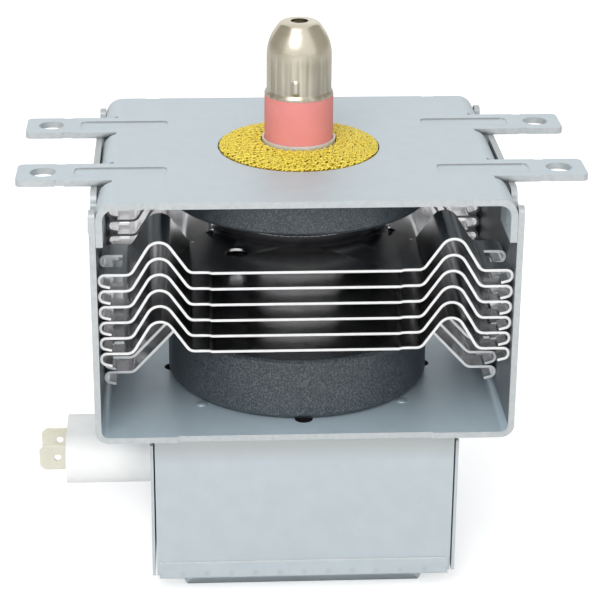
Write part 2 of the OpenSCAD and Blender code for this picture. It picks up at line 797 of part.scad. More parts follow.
module cooling_fin(i) {
    slit_in = fin_slit_y - fin_slit_w / 2;
    slit_out = fin_slit_y + fin_slit_w / 2;
    color("#8d9092")
        translate([0, 0, anode_top_z - first_fin_drop - i * fin_pitch])
            difference() {
                union() {
                    fin_strip(outer_half, -fin_depth / 2, -slit_out);
                    fin_strip(bridge_half, -slit_out, -slit_in);
                    fin_strip(middle_half, -slit_in, slit_in);
                    fin_strip(bridge_half, slit_in, slit_out);
                    fin_strip(outer_half, slit_out, fin_depth / 2);
                    bore(anode_r + fin_fit + fin_t, -joggle, fin_collar_h);
                    for (sx = both)
                        for (sy = both)
                            mirror([sx < 0 ? 1 : 0, 0, 0])
                                along_y(
                                    [
                                        [lance_x - lance_w / 2, 0],
                                        [lance_x + lance_w / 2, 0],
                                        [lance_x - lance_w / 2, lance_h]
                                    ],
                                    sy * lance_y - fin_t / 2, sy * lance_y + fin_t / 2
                                );
                }
                bore(anode_r + fin_fit, -cut, cut);
                for (s = both)
                    translate([s * fin_hole_x, s * fin_hole_y, 0])
                        bore(fin_hole_d / 2, -fin_pitch, fin_pitch);
                fin_notches(tab_notch_y, -tab_drop);
                fin_notches(middle_notch_y, -middle_drop);
            }
}

module anode_cylinder() {
    color("#b87352")
        ring(anode_in_r, anode_r, anode_top_z - anode_h, anode_top_z);
}

vane_top_z = anode_mid_z + vane_h / 2;
vane_bottom_z = anode_mid_z - vane_h / 2;

// Groove for one strap ring at a vane's end; a vane that touches the ring has a close seat
module strap_groove(r, touches, top) {
    gap = touches ? braze_gap : strap_clear;
    depth = strap_h + (touches ? 0 : strap_clear);
    z = top ? vane_top_z - depth : vane_bottom_z - depth;
    ring(r - strap_t / 2 - gap, r + strap_t / 2 + gap, z, z + 2 * depth);
}

module anode_vanes() {
    color("#b87352")
        for (i = [0:vanes - 1])
            rotate(360 / vanes * i)
                difference() {
                    intersection() {
                        block([0, -vane_t / 2, vane_bottom_z], [anode_r, vane_t / 2, vane_top_z]);
                        ring(vane_tip_r, anode_in_r - braze_gap, vane_bottom_z, vane_top_z);
                    }
                    strap_groove(strap_in_r, i % 2 == 0, true);
                    strap_groove(strap_out_r, i % 2 == 1, true);
                    strap_groove(strap_in_r, i % 2 == 1, false);
                    strap_groove(strap_out_r, i % 2 == 0, false);
                }
}

module strap(r, z) {
    color("#c48a66")
        ring(r - strap_t / 2, r + strap_t / 2, z, z + strap_h);
}

// Dished pole piece with its flat rim on the anode's end, drawn as the upper one
module pole_piece() {
    tip_z = upper_pole_z - pole_cone_h;
    skew = pole_t * (pole_cone_r - pole_tip_r) / pole_cone_h / 2;
    rotate_extrude()
        polygon([
            [anode_r, upper_pole_z],
            [pole_cone_r, upper_pole_z],
            [pole_tip_r, tip_z],
            [pole_hole_r, tip_z],
            [pole_hole_r, tip_z - pole_t],
            [pole_tip_r + skew, tip_z - pole_t],
            [pole_cone_r + skew, anode_top_z],
            [anode_r, anode_top_z]
        ]);
}

module upper_pole_piece() {
    color("#9aa0a4")
        difference() {
            pole_piece();
            translate([lead_seat_x, 0, 0])
                bore(lead_r + lead_clear, vane_top_z, upper_magnet_z);
        }
}

module lower_pole_piece() {
    color("#9aa0a4")
        translate([0, 0, 2 * anode_mid_z])
            mirror([0, 0, 1])
                pole_piece();
}

seal_ledge_z = seal_rim_z - seal_grip;
module output_seal_cup() {
    color("#c9c6c0")
        rotate_extrude()
            polygon([
                [anode_r, upper_pole_z],
                [anode_r, upper_magnet_z],
                [seal_out_r, upper_magnet_z],
                [seal_out_r, seal_rim_z],
                [seal_in_r, seal_rim_z],
                [seal_in_r, seal_ledge_z],
                [seal_in_r - seal_t, seal_ledge_z],
                [seal_in_r - seal_t, upper_pole_z]
            ]);
}

stem_top_z = yoke_bottom_z - input_tube_drop + stem_grip;
stem_bottom_z = stem_top_z - stem_h;
input_in_r = input_tube_r - seal_t;
module input_seal_cup() {
    color("#c9c6c0")
        rotate_extrude()
            polygon([
                [anode_r, lower_magnet_top_z],
                [anode_r, lower_magnet_top_z + seal_t],
                [input_in_r - seal_t, lower_magnet_top_z + seal_t],
                [input_in_r - seal_t, stem_top_z],
                [input_in_r, stem_top_z],
                [input_in_r, yoke_bottom_z - input_tube_drop],
                [input_tube_r, yoke_bottom_z - input_tube_drop],
                [input_tube_r, lower_magnet_top_z]
            ]);
}

module antenna_ceramic() {
    color("#ee9a94")
        ring(ceramic_r - ceramic_wall, ceramic_r, seal_ledge_z, ceramic_top_z);
}

cap_mid_r = cap_d / 2 - cap_t / 2;
cap_top_z = ceramic_top_z + cap_h;
sleeve_r = cap_d / 2 - cap_t - braze_gap;
sleeve_top_z = ceramic_top_z + sleeve_h;
module exhaust_sleeve() {
    color("#c9c6c0")
        rotate_extrude()
            polygon([
                [sleeve_r, ceramic_top_z],
                [sleeve_r, sleeve_top_z],
                [exhaust_r + braze_gap, sleeve_top_z],
                [exhaust_r + braze_gap, sleeve_top_z - seal_t],
                [sleeve_r - seal_t, sleeve_top_z - seal_t],
                [sleeve_r - seal_t, ceramic_top_z]
            ]);
}

exhaust_bottom_z = sleeve_top_z - exhaust_h / 2;
exhaust_top_z = exhaust_bottom_z + exhaust_h;
module exhaust_tube() {
    color("#b87352")
        difference() {
            bore(exhaust_r, exhaust_bottom_z, exhaust_top_z + pinch_h);
            bore(exhaust_r - exhaust_wall, exhaust_bottom_z - exhaust_wall, exhaust_top_z - exhaust_wall);
            for (s = both)
                mirror([0, s < 0 ? 1 : 0, 0])
                    along_x(
                        [
                            [exhaust_r, exhaust_top_z],
                            [2 * exhaust_r, exhaust_top_z],
                            [2 * exhaust_r, exhaust_top_z + 2 * pinch_h],
                            [pinch_t / 2, exhaust_top_z + 2 * pinch_h],
                            [pinch_t / 2, exhaust_top_z + pinch_h]
                        ],
                        -cut, cut
                    );
        }
}

module antenna_cap() {
    color("#b9ab98")
        rotate_extrude()
            polygon(sheet(
                rounded([
                    [ceramic_r - cap_t / 2, ceramic_top_z, 0],
                    [ceramic_r - cap_t / 2, ceramic_top_z + cap_flare_h / 3, cap_t],
                    [cap_mid_r, ceramic_top_z + cap_flare_h, cap_t],
                    [cap_mid_r, cap_top_z - cap_nose_h, cap_shoulder_r],
                    [cap_nose_r, cap_top_z - cap_t / 2, cap_end_r],
                    [cap_hole_d / 2, cap_top_z - cap_t / 2, 0]
                ]),
                cap_t
            ));
}

// Copper lead from the first vane through the pole piece up into the exhaust tube
module antenna_lead() {
    knee = [lead_seat_x, 0, upper_pole_z - pole_cone_h / 2];
    neck = [0, 0, upper_magnet_z];
    color("#b87352")
        difference() {
            union() {
                bar([lead_seat_x, 0, vane_top_z], knee, lead_r);
                bar(knee, neck, lead_r);
                bar(neck, [0, 0, exhaust_top_z - 2 * exhaust_wall - lead_r], lead_r);
            }
            bore(cut, vane_top_z - cut, vane_top_z);
        }
}

gasket_base_z = -plate_t + gasket_ring_t;
gasket_steps = 6 * gasket_rows;
module rf_gasket() {
    color("#d8b53c")
        rotate_extrude()
            polygon(concat(
                [[gasket_in_r, gasket_base_z]],
                [
                    for (i = [0:gasket_steps])
                        [
                            gasket_in_r + (gasket_r - gasket_in_r) * i / gasket_steps,
                            gasket_rise - gasket_groove * (1 - abs(sin(180 * gasket_rows * i / gasket_steps)))
                        ]
                ],
                [[gasket_r, gasket_base_z]]
            ));
}

module gasket_ring() {
    color("#b9c0c4")
        ring(gasket_in_r, gasket_r, -plate_t, gasket_base_z);
}

// Filament and the parts that hold it
upper_hat_z = vane_top_z + hat_t / 4;
lower_hat_z = vane_bottom_z;
filament_h = upper_hat_z - lower_hat_z - 2 * filament_wire_r;
module cathode_filament() {
    steps = filament_turns * turn_steps;
    color("#8b8680")
        wire(
            [
                for (i = [0:steps])
                    let (a = 360 * i / turn_steps)
                    [
                        filament_r * cos(a),
                        filament_r * sin(a),
                        lower_hat_z + filament_wire_r + filament_h * i / steps
                    ]
            ],
            filament_wire_r,
            [0, 0, 1]
        );
}

module upper_end_hat() {
    color("#8b8680")
        ring(cathode_lead_r + braze_gap, upper_hat_r, upper_hat_z, upper_hat_z + hat_t);
}

module lower_end_hat() {
    color("#8b8680")
        ring(filament_r - 2 * filament_wire_r, lower_hat_r, lower_hat_z - hat_t, lower_hat_z);
}

stem_lead_z = stem_bottom_z - stem_lead_drop;
spacer_z = (floor_z + lower_magnet_top_z) / 2 - spacer_t;
module center_lead() {
    bend = [0, 0, lower_magnet_top_z];
    foot = [stem_lead_x, 0, spacer_z + 2 * spacer_t];
    color("#8b8680") {
        bar([0, 0, upper_hat_z + hat_t], bend, cathode_lead_r);
        bar(bend, foot, cathode_lead_r);
        bar(foot, [stem_lead_x, 0, stem_lead_z], cathode_lead_r);
    }
}

module side_lead() {
    color("#8b8680")
        bar([-stem_lead_x, 0, lower_hat_z - hat_t], [-stem_lead_x, 0, stem_lead_z], cathode_lead_r);
}

module at_stem_leads() {
    for (s = both)
        translate([s * stem_lead_x, 0, 0])
            children();
}

module lead_spacer() {
    color("#f1ece2")
        difference() {
            bore(spacer_r, spacer_z, spacer_z + spacer_t);
            at_stem_leads()
                bore(cathode_lead_r + braze_gap, spacer_z - spacer_t, spacer_z + 2 * spacer_t);
        }
}

module stem_ceramic() {
    color("#f1ece2")
        difference() {
            bore(input_in_r - braze_gap, stem_bottom_z, stem_top_z);
            at_stem_leads()
                bore(cathode_lead_r + braze_gap, stem_bottom_z - stem_h, stem_top_z + stem_h);
        }
}

module stem_washers() {
    color("#c9c6c0")
        at_stem_leads()
            ring(cathode_lead_r + braze_gap, stem_washer_r, stem_bottom_z - stem_washer_t, stem_bottom_z);
}

// Choke coils run from the capacitor's inner tabs to the stem's leads
cap_z = yoke_bottom_z - cap_drop;
box_in_x = box_w / 2 - box_t;
cap_inner_x = -box_in_x + cap_body_in;
coil_start_x = cap_inner_x + inner_tab_len / 2;
coil_y = terminal_pitch / 2 + tab_t / 2 + coil_wire_r + braze_gap + coil_r;
coil_lead_y = cathode_lead_r + coil_wire_r + braze_gap;
coil_lead_z = stem_lead_z + coil_wire_r;
module choke_coil(side) {
    end_x = side * stem_lead_x;
    steps = coil_turns * turn_steps;
    color("#b5653c")
        wire(
            concat(
                [
                    for (i = [0:steps])
                        let (a = 180 + 360 * i / turn_steps)
                        [
                            coil_start_x + (end_x - coil_start_x) * i / steps,
                            side * (coil_y + coil_r * cos(a)),
                            cap_z - coil_r * sin(a)
                        ]
                ],
                [[end_x, side * coil_lead_y, coil_lead_z]]
            ),
            coil_wire_r,
            [1, 0, 0]
        );
}

module ferrite_core(side) {
    length = (side * stem_lead_x - coil_start_x) * ferrite_share;
    color("#3a3d40")
        translate([0, side * coil_y, cap_z])
            bore_x(ferrite_r, coil_start_x, coil_start_x + length);
}

// Long-round section of the capacitor, grown by a margin
module cap_section(x0, x1, margin) {
    for (s = both)
        translate([0, s * terminal_pitch / 2, cap_z])
            bore_x(cap_body_h / 2 + margin, x0, x1);
    block(
        [x0, -terminal_pitch / 2, cap_z - cap_body_h / 2 - margin],
        [x1, terminal_pitch / 2, cap_z + cap_body_h / 2 + margin]
    );
}

box_front = rounded([
    [0, yoke_bottom_z - box_t / 2, 0],
    [box_depth / 2 - box_t / 2, yoke_bottom_z - box_t / 2, box_bend_r - box_t / 2],
    [box_depth / 2 - box_t / 2, box_bottom_z, 0]
]);
box_side = rounded([
    [box_in_x - box_bend_r, yoke_bottom_z - box_t / 2, 0],
    [box_w / 2 - box_t / 2, yoke_bottom_z - box_t / 2, box_bend_r - box_t / 2],
    [box_w / 2 - box_t / 2, box_bottom_z, 0]
]);
cap_rivet_y = terminal_pitch / 2 + cap_body_h / 2 + cap_flange_rim + cap_flange_ear / 2;

module at_cap_rivets() {
    for (s = both)
        translate([0, s * cap_rivet_y, cap_z])
            children();
}

module filter_box() {
    panel_x = box_in_x - box_seam;
    corner_y = box_depth / 2 - box_bend_r - box_seam;
    color("#b3bfc8")
        difference() {
            union() {
                along_x(sheet(whole(box_front), box_t), -panel_x, panel_x);
                for (s = both)
                    mirror([s < 0 ? 1 : 0, 0, 0]) {
                        along_y(sheet(box_side, box_t), -corner_y, corner_y);
                        block(
                            [box_in_x, -box_depth / 2, box_bottom_z],
                            [box_w / 2, box_depth / 2, yoke_bottom_z - box_bend_r - box_seam]
                        );
                    }
            }
            bore(input_tube_r + floor_clear, yoke_bottom_z - cut, cut);
            floor_holes();
            at_box_rivets()
                bore(box_rivet_r + braze_gap, yoke_bottom_z - yoke_t, yoke_bottom_z + yoke_t);
            cap_section(-box_w, -box_in_x + box_t, cap_body_fit);
            at_cap_rivets()
                bore_x(cap_rivet_r + braze_gap, -box_w, 0);
        }
}

lid_half = rounded([
    [0, lid_bottom_z + box_t / 2, 0],
    [box_depth / 2 + lid_fit + box_t / 2, lid_bottom_z + box_t / 2, lid_fit + box_t / 2],
    [box_depth / 2 + lid_fit + box_t / 2, lid_bottom_z + lid_lip_h, 0]
]);

// Solid of the dish with sloping sides, shrunk by an inset and lifted by the same amount
module dish(inset) {
    low = base_z + inset;
    high = lid_bottom_z + inset;
    half_w = dish_w / 2 - inset;
    half_d = dish_depth / 2 - inset;
    intersection() {
        along_y(
            [[-half_w, low], [half_w, low], [half_w + dish_run, high], [-half_w - dish_run, high]],
            -cut, cut
        );
        along_x(
            [[-half_d, low], [half_d, low], [half_d + dish_run, high], [-half_d - dish_run, high]],
            -cut, cut
        );
        translate([0, 0, low])
            linear_extrude(cut)
                polygon(rectangle(2 * (half_w + dish_run), 2 * (half_d + dish_run), dish_corner_r - inset));
    }
}

module filter_box_lid() {
    lid_x = box_w / 2 - lid_inset;
    color("#aebac2")
        difference() {
            union() {
                along_x(sheet(whole(lid_half), box_t), -lid_x, lid_x);
                dish(0);
            }
            dish(box_t);
        }
}

module box_rivets() {
    color("#c8d2d6")
        at_box_rivets()
            rotate_extrude()
                polygon(concat(
                    [[0, floor_z + box_head_h]],
                    [
                        for (a = [arc_step:arc_step:90])
                            [box_head_r * sin(a), floor_z + box_head_h * cos(a)]
                    ],
                    [
                        [box_head_r, floor_z],
                        [box_rivet_r, floor_z],
                        [box_rivet_r, yoke_bottom_z - box_t],
                        [box_head_r, yoke_bottom_z - box_t],
                        [box_head_r, yoke_bottom_z - box_t - box_head_h],
                        [0, yoke_bottom_z - box_t - box_head_h]
                    ]
                ));
}

body_end_x = -box_w / 2 - cap_body_out;
flange_in_x = -box_in_x + cap_flange_t;
module at_terminals() {
    for (s = both)
        translate([0, s * terminal_pitch / 2, cap_z])
            children();
}

module capacitor_body() {
    color("#f2f3f2")
        difference() {
            union() {
                cap_section(body_end_x, cap_inner_x, 0);
                cap_section(flange_in_x, flange_in_x + cap_shoulder_t, cap_shoulder);
            }
            at_terminals() {
                bore_x(conductor_r + braze_gap, -box_w - cut, cut);
                translate([body_end_x, 0, 0])
                    cube([2 * pocket_depth, tab_t + 2 * pocket_gap, tab_w + 2 * pocket_gap], center = true);
            }
        }
}

module capacitor_flange() {
    ear_half = terminal_pitch / 2 + cap_body_h / 2 + cap_flange_rim + cap_flange_ear;
    color("#c2cacd")
        difference() {
            translate([-box_in_x, 0, cap_z])
                rotate([90, 0, 90])
                    linear_extrude(cap_flange_t)
                        polygon(rectangle(2 * ear_half, cap_body_h + 2 * cap_flange_rim, cap_flange_rim));
            cap_section(-box_w, 0, cap_body_fit);
            at_cap_rivets()
                bore_x(cap_rivet_r + braze_gap, -box_w, 0);
        }
}

module capacitor_rivets() {
    color("#aab4ba")
        at_cap_rivets() {
            bore_x(cap_rivet_r, -box_w / 2 - head_h, flange_in_x + head_h);
            bore_x(cap_head_r, -box_w / 2 - head_h, -box_w / 2);
            bore_x(cap_head_r, flange_in_x, flange_in_x + head_h);
        }
}

// One conductor: push-on tab outside, round rod through the body, welded tab inside
module terminal(side) {
    tip_x = body_end_x - tab_len;
    root_x = body_end_x + pocket_depth;
    color("#d9d3bd")
        translate([0, side * terminal_pitch / 2, cap_z])
            difference() {
                union() {
                    along_y(
                        [
                            [root_x, -tab_w / 2],
                            [root_x, tab_w / 2],
                            [tip_x + tab_chamfer, tab_w / 2],
                            [tip_x, tab_w / 2 - tab_chamfer],
                            [tip_x, tab_chamfer - tab_w / 2],
                            [tip_x + tab_chamfer, -tab_w / 2]
                        ],
                        -tab_t / 2, tab_t / 2
                    );
                    bore_x(conductor_r, root_x - conductor_lap, cap_inner_x + conductor_lap);
                    block(
                        [cap_inner_x, -tab_t / 2, -inner_tab_w / 2],
                        [cap_inner_x + inner_tab_len, tab_t / 2, inner_tab_w / 2]
                    );
                }
                translate([body_end_x - tab_hole_x, 0, 0])
                    rotate([90, 0, 0])
                        cylinder(d = tab_hole_d, h = 4 * tab_t, center = true);
            }
}

upper_yoke();
lower_yoke();
yoke_rivets();
upper_magnet();
lower_magnet();
cooling_fin(0);  // cooling_fin_1
cooling_fin(1);  // cooling_fin_2
cooling_fin(2);  // cooling_fin_3
cooling_fin(3);  // cooling_fin_4
cooling_fin(4);  // cooling_fin_5
cooling_fin(5);  // cooling_fin_6
anode_cylinder();
anode_vanes();
strap(strap_in_r, vane_top_z - strap_h);  // upper_inner_strap
strap(strap_out_r, vane_top_z - strap_h);  // upper_outer_strap
strap(strap_in_r, vane_bottom_z);  // lower_inner_strap
strap(strap_out_r, vane_bottom_z);  // lower_outer_strap
upper_pole_piece();
lower_pole_piece();
output_seal_cup();
input_seal_cup();
antenna_ceramic();
exhaust_sleeve();
exhaust_tube();
antenna_cap();
antenna_lead();
rf_gasket();
gasket_ring();
cathode_filament();
upper_end_hat();
lower_end_hat();
center_lead();
side_lead();
lead_spacer();
stem_ceramic();
stem_washers();
choke_coil(-1);  // choke_coil_front
choke_coil(1);  // choke_coil_rear
ferrite_core(-1);  // ferrite_core_front
ferrite_core(1);  // ferrite_core_rear
filter_box();
filter_box_lid();
box_rivets();
capacitor_body();
capacitor_flange();
capacitor_rivets();
terminal(-1);  // terminal_front
terminal(1);  // terminal_rear
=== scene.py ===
import math

import bmesh
import bpy
import numpy as np
from bpy.props import FloatProperty, FloatVectorProperty, IntProperty, PointerProperty
from bpy.types import Operator, Panel, PropertyGroup
from mathutils import Matrix, Vector


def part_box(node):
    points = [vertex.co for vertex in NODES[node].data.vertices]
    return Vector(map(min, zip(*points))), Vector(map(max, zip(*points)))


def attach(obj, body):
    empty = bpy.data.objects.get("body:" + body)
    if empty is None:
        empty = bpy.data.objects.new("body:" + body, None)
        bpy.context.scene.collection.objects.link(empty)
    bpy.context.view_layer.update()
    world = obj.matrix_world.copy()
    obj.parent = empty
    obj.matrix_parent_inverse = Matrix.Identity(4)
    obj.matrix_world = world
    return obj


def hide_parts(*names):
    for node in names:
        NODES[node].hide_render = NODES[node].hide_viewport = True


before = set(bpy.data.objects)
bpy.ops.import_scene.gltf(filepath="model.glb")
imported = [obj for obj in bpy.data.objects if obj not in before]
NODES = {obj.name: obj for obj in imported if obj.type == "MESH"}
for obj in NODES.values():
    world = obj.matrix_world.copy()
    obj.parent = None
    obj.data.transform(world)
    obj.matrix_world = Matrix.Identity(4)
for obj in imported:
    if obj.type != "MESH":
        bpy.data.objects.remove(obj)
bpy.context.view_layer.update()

bl_info = {
    "name": "Oven magnetron",
    "version": (1, 0, 0),
    "blender": (4, 5, 0),
    "location": "3D View > Sidebar > Magnetron",
    "description": "Dresses the magnetron's solids with sheet steel, ferrite, ceramic and knitted wire",
    "category": "Object",
}

MM = 0.001
FINS = ["cooling_fin_%d" % i for i in range(1, 7)]
FIN_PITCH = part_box("cooling_fin_1")[1].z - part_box("cooling_fin_2")[1].z
FLOOR_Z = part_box("filter_box_lid")[0].z

# Where the faces of the solids change their finish
STEEP = 0.5
FIRST_FIN_DROP = 3.9 * MM
FIN_FLAT_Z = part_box("anode_cylinder")[1].z - FIRST_FIN_DROP
FIN_FLAT_X = 24.0 * MM
FIN_HOLES_Y = 30.0 * MM
COLLAR_RADIUS = 20.4 * MM
FOOT_HOLES_INNER = 26.0 * MM
FOOT_HOLES_OUTER = 33.0 * MM
FOOT_HOLES_REACH = 2.5 * MM
EAR_TIP = 2.0 * MM
WALL_FOOT = 4.0 * MM
WALL_TOPS = 20.0 * MM
BOX_RIM = 1.0 * MM
LIP_DOTS_Z = 5.6 * MM

# Drawn cap and the crimp mark on its wall
CAP_SHEET = 0.42 * MM
CAP_RADIUS = 7.42 * MM
CAP_FLARE_LOW = 0.37 * MM
CAP_FLARE_HIGH = 1.1 * MM
CAP_FLARE_ROUND = 0.42 * MM
CAP_SHOULDER_DROP = 4.6 * MM
CAP_SHOULDER_ROUND = 10.0 * MM
CAP_NOSE_RADIUS = 4.2 * MM
CAP_NOSE_ROUND = 1.5 * MM
CAP_HOLE_RADIUS = 2.0 * MM
CAP_RING_STEP = 0.25 * MM
CAP_STREAKS_LOW = 21.0 * MM
CAP_STREAKS_HIGH = 24.0 * MM
CRIMP_ANGLE = math.radians(261.0)
CRIMP_HALF_WIDTH = 0.7 * MM
CRIMP_LOW = 1.9 * MM
CRIMP_HIGH = 4.3 * MM
CRIMP_LOW_FADE = 0.4 * MM
CRIMP_HIGH_FADE = 0.35 * MM

# Knitted gasket
KNIT_BORE_GAP = 0.8 * MM
KNIT_STRANDS = 3
KNIT_STEPS = 8
KNIT_SEED = 7
WIRE_SIDES = 5
CORE_DEPTH_IN_WIRES = 4.2
CORE_INNER_GAP = 0.1 * MM
CORE_OUTER_GAP = 0.3 * MM
CORE_STEPS = 12
CORE_SEGMENTS = 96

# Camera, in the frame's metres
CAMERA_LENS = 123.09
CAMERA_PLACE = Vector((-24.897, -450.756, 149.252)) * MM
CAMERA_AIM = Vector((0.62, 0.0, -38.68)) * MM
CAMERA_ROLL = math.radians(0.45)
LAMP_AIM = Vector((0.0, 0.0, -0.03))
STAGE_REACH = 6.0
WHITE = (1.0, 1.0, 1.0, 1.0)


def colour_prop(name, description, default):
    return FloatVectorProperty(name=name, description=description, subtype="COLOR", size=3,
                               min=0.0, max=1.0, default=default)


def length_prop(name, description, default):
    return FloatProperty(name=name, description=description, unit="LENGTH", min=0.0, default=default,
                         precision=5)


class MagnetronSizes(PropertyGroup):
    """Sizes of what is added to the solids."""

    fin_count: IntProperty(name="Fins", description="Number of stacked fins", min=1, default=len(FINS))
    fin_pitch: length_prop("Fin pitch", "Distance from one fin to the next", FIN_PITCH)
    knit_wire: length_prop("Knit wire", "Radius of the gasket's wire", 0.17 * MM)
    knit_rim: length_prop("Knit rim", "Height of the gasket's outer rim above the plate", 0.3 * MM)
    knit_slope: length_prop("Knit slope", "Rise from the outer rim to the inner one", 1.5 * MM)
    knit_crown: length_prop("Knit crown", "Rise of the gasket's middle above its slope", 0.45 * MM)
    knit_rows: IntProperty(name="Knit rows", description="Rows of loops across the gasket", min=2, default=7)
    knit_loop: length_prop("Knit loop", "Length of one loop along a row", 2.2 * MM)
    cap_segments: IntProperty(name="Cap segments", description="Steps around the antenna cap", min=24,
                              default=160)
    crimp_rise: length_prop("Crimp rise", "Height of the crimp mark on the cap's wall", 0.45 * MM)


class MagnetronFinishes(PropertyGroup):
    """Base colours of the finishes."""

    zinc: colour_prop("Zinc", "Zinc-coated sheet of the plate and the outside", (0.60, 0.68, 0.725))
    zinc_box: colour_prop("Box zinc", "Zinc-coated sheet of the filter box", (0.525, 0.585, 0.62))
    # The yoke's walls and floor are one zinc sheet: the wall colour is darkened as painted shade and the
    # floor colour lightened as painted light.
    shaded_wall_zinc: colour_prop("Wall zinc", "Zinc-coated sheet of the lower yoke's walls", (0.225, 0.25, 0.27))
    lit_shaded_floor_zinc: colour_prop("Floor zinc", "Zinc-coated sheet of the lower yoke's floor", (0.66, 0.80, 0.885))
    cut_edge: colour_prop("Cut edge", "Sheared edges of the yokes", (0.51, 0.54, 0.55))
    fin_edge: colour_prop("Fin edge", "Sheared edges of the fins", (0.78, 0.79, 0.79))
    ferrite: colour_prop("Ferrite", "Ring magnets", (0.03, 0.037, 0.044))
    fin: colour_prop("Fin", "Rolled faces of the fins", (0.78, 0.78, 0.79))
    pink: colour_prop("Pink ceramic", "Antenna ceramic", (0.74, 0.25, 0.23))
    nickel: colour_prop("Nickel", "Antenna cap", (0.70, 0.65, 0.53))
    gold: colour_prop("Gold wire", "Knitted gasket", (1.0, 0.80, 0.11))
    copper: colour_prop("Copper", "Anode, vanes and leads", (0.72, 0.34, 0.20))
    resin: colour_prop("Resin", "Capacitor body", (0.84, 0.84, 0.83))
    tin: colour_prop("Tin", "Push-on tabs", (0.82, 0.80, 0.68))


def sizes():
    return bpy.context.scene.magnetron_sizes


def finishes():
    return bpy.context.scene.magnetron_finishes


def grey(colour, factor):
    return tuple(min(1.0, c * factor) for c in colour) + (1.0,)


# Shader node groups

def new_group(name, inputs, outputs):
    group = bpy.data.node_groups.new(name, "ShaderNodeTree")
    for label, kind, default in inputs:
        socket = group.interface.new_socket(label, in_out="INPUT", socket_type=kind)
        socket.default_value = default
    for label, kind in outputs:
        group.interface.new_socket(label, in_out="OUTPUT", socket_type=kind)
    return group, group.nodes.new("NodeGroupInput"), group.nodes.new("NodeGroupOutput")


def math_node(tree, operation, a, b=None, clamp=False):
    node = tree.nodes.new("ShaderNodeMath")
    node.operation = operation
    node.use_clamp = clamp
    for slot, value in zip(node.inputs, (a, b)):
        if value is None:
            continue
        if isinstance(value, (int, float)):
            slot.default_value = value
        else:
            tree.links.new(value, slot)
    return node.outputs[0]


def ramp(tree, value, low, high):
    node = tree.nodes.new("ShaderNodeMapRange")
    node.inputs["From Min"].default_value = low
    node.inputs["From Max"].default_value = high
    tree.links.new(value, node.inputs["Value"])
    return node.outputs["Result"]


def noise(tree, vector, scale, detail=3.0):
    node = tree.nodes.new("ShaderNodeTexNoise")
    node.inputs["Detail"].default_value = detail
    if isinstance(scale, (int, float)):
        node.inputs["Scale"].default_value = scale
    else:
        tree.links.new(scale, node.inputs["Scale"])
    tree.links.new(vector, node.inputs["Vector"])
    return node.outputs["Fac"]


def stretched(tree, vector, scale):
    node = tree.nodes.new("ShaderNodeVectorMath")
    node.operation = "MULTIPLY"
    node.inputs[1].default_value = scale
    tree.links.new(vector, node.inputs[0])
    return node.outputs[0]


def rolled_sheet_group():
    """Soft mottling, rolling streaks and fine grain of a metal sheet."""
    group, inp, out = new_group(
        "Rolled sheet",
        [("Vector", "NodeSocketVector", (0, 0, 0)), ("Mottle Scale", "NodeSocketFloat", 120.0)],
        [("Mottle", "NodeSocketFloat"), ("Streak", "NodeSocketFloat"), ("Height", "NodeSocketFloat")],
    )
    vector = inp.outputs["Vector"]
    mottle = noise(group, vector, inp.outputs["Mottle Scale"], 4.0)
    streak = noise(group, stretched(group, vector, (1.0, 0.06, 1.0)), 900.0, 2.0)
    grain = noise(group, vector, 2600.0, 2.0)
    height = math_node(group, "MULTIPLY", math_node(group, "ADD", streak, grain), 0.5)
    group.links.new(ramp(group, mottle, 0.3, 0.7), out.inputs["Mottle"])
    group.links.new(ramp(group, streak, 0.3, 0.7), out.inputs["Streak"])
    group.links.new(height, out.inputs["Height"])
    return group


def fine_grain_group():
    """Fired or moulded body: fine specks and a soft, slightly uneven surface."""
    group, inp, out = new_group(
        "Fine grain",
        [("Vector", "NodeSocketVector", (0, 0, 0)), ("Grain Scale", "NodeSocketFloat", 1500.0),
         ("Speck Level", "NodeSocketFloat", 0.62)],
        [("Speck", "NodeSocketFloat"), ("Cloud", "NodeSocketFloat"), ("Height", "NodeSocketFloat")],
    )
    vector = inp.outputs["Vector"]
    grain = noise(group, vector, inp.outputs["Grain Scale"], 3.0)
    cloud = noise(group, vector, 90.0, 2.0)
    over = math_node(group, "SUBTRACT", grain, inp.outputs["Speck Level"])
    speck = math_node(group, "MULTIPLY", over, 9.0, clamp=True)
    group.links.new(speck, out.inputs["Speck"])
    group.links.new(ramp(group, cloud, 0.3, 0.7), out.inputs["Cloud"])
    group.links.new(grain, out.inputs["Height"])
    return group


GROUPS = {}


def group_node(material, maker, **values):
    tree = material.node_tree
    if maker.__name__ not in GROUPS:
        GROUPS[maker.__name__] = maker()
    node = tree.nodes.new("ShaderNodeGroup")
    node.node_tree = GROUPS[maker.__name__]
    coords = tree.nodes.new("ShaderNodeTexCoord")
    tree.links.new(coords.outputs["Object"], node.inputs["Vector"])
    for label, value in values.items():
        node.inputs[label.replace("_", " ")].default_value = value
    return node


def mix_colour(tree, factor, a, b):
    node = tree.nodes.new("ShaderNodeMix")
    node.data_type = "RGBA"
    tree.links.new(factor, node.inputs["Factor"])
    for slot, value in ((node.inputs[6], a), (node.inputs[7], b)):
        if isinstance(value, tuple):
            slot.default_value = value
        else:
            tree.links.new(value, slot)
    return node.outputs[2]


def span(tree, factor, low, high):
    node = tree.nodes.new("ShaderNodeMapRange")
    node.inputs["To Min"].default_value = low
    node.inputs["To Max"].default_value = high
    tree.links.new(factor, node.inputs["Value"])
    return node.outputs["Result"]


def bump(tree, height, shader, strength, distance):
    node = tree.nodes.new("ShaderNodeBump")
    node.inputs["Strength"].default_value = strength
    node.inputs["Distance"].default_value = distance
    tree.links.new(height, node.inputs["Height"])
    tree.links.new(node.outputs["Normal"], shader.inputs["Normal"])


def new_material(name, metallic, roughness):
    material = bpy.data.materials.new(name)
    material.use_nodes = True
    shader = material.node_tree.nodes["Principled BSDF"]
    shader.inputs["Metallic"].default_value = metallic
    shader.inputs["Roughness"].default_value = roughness
    return material, material.node_tree, shader


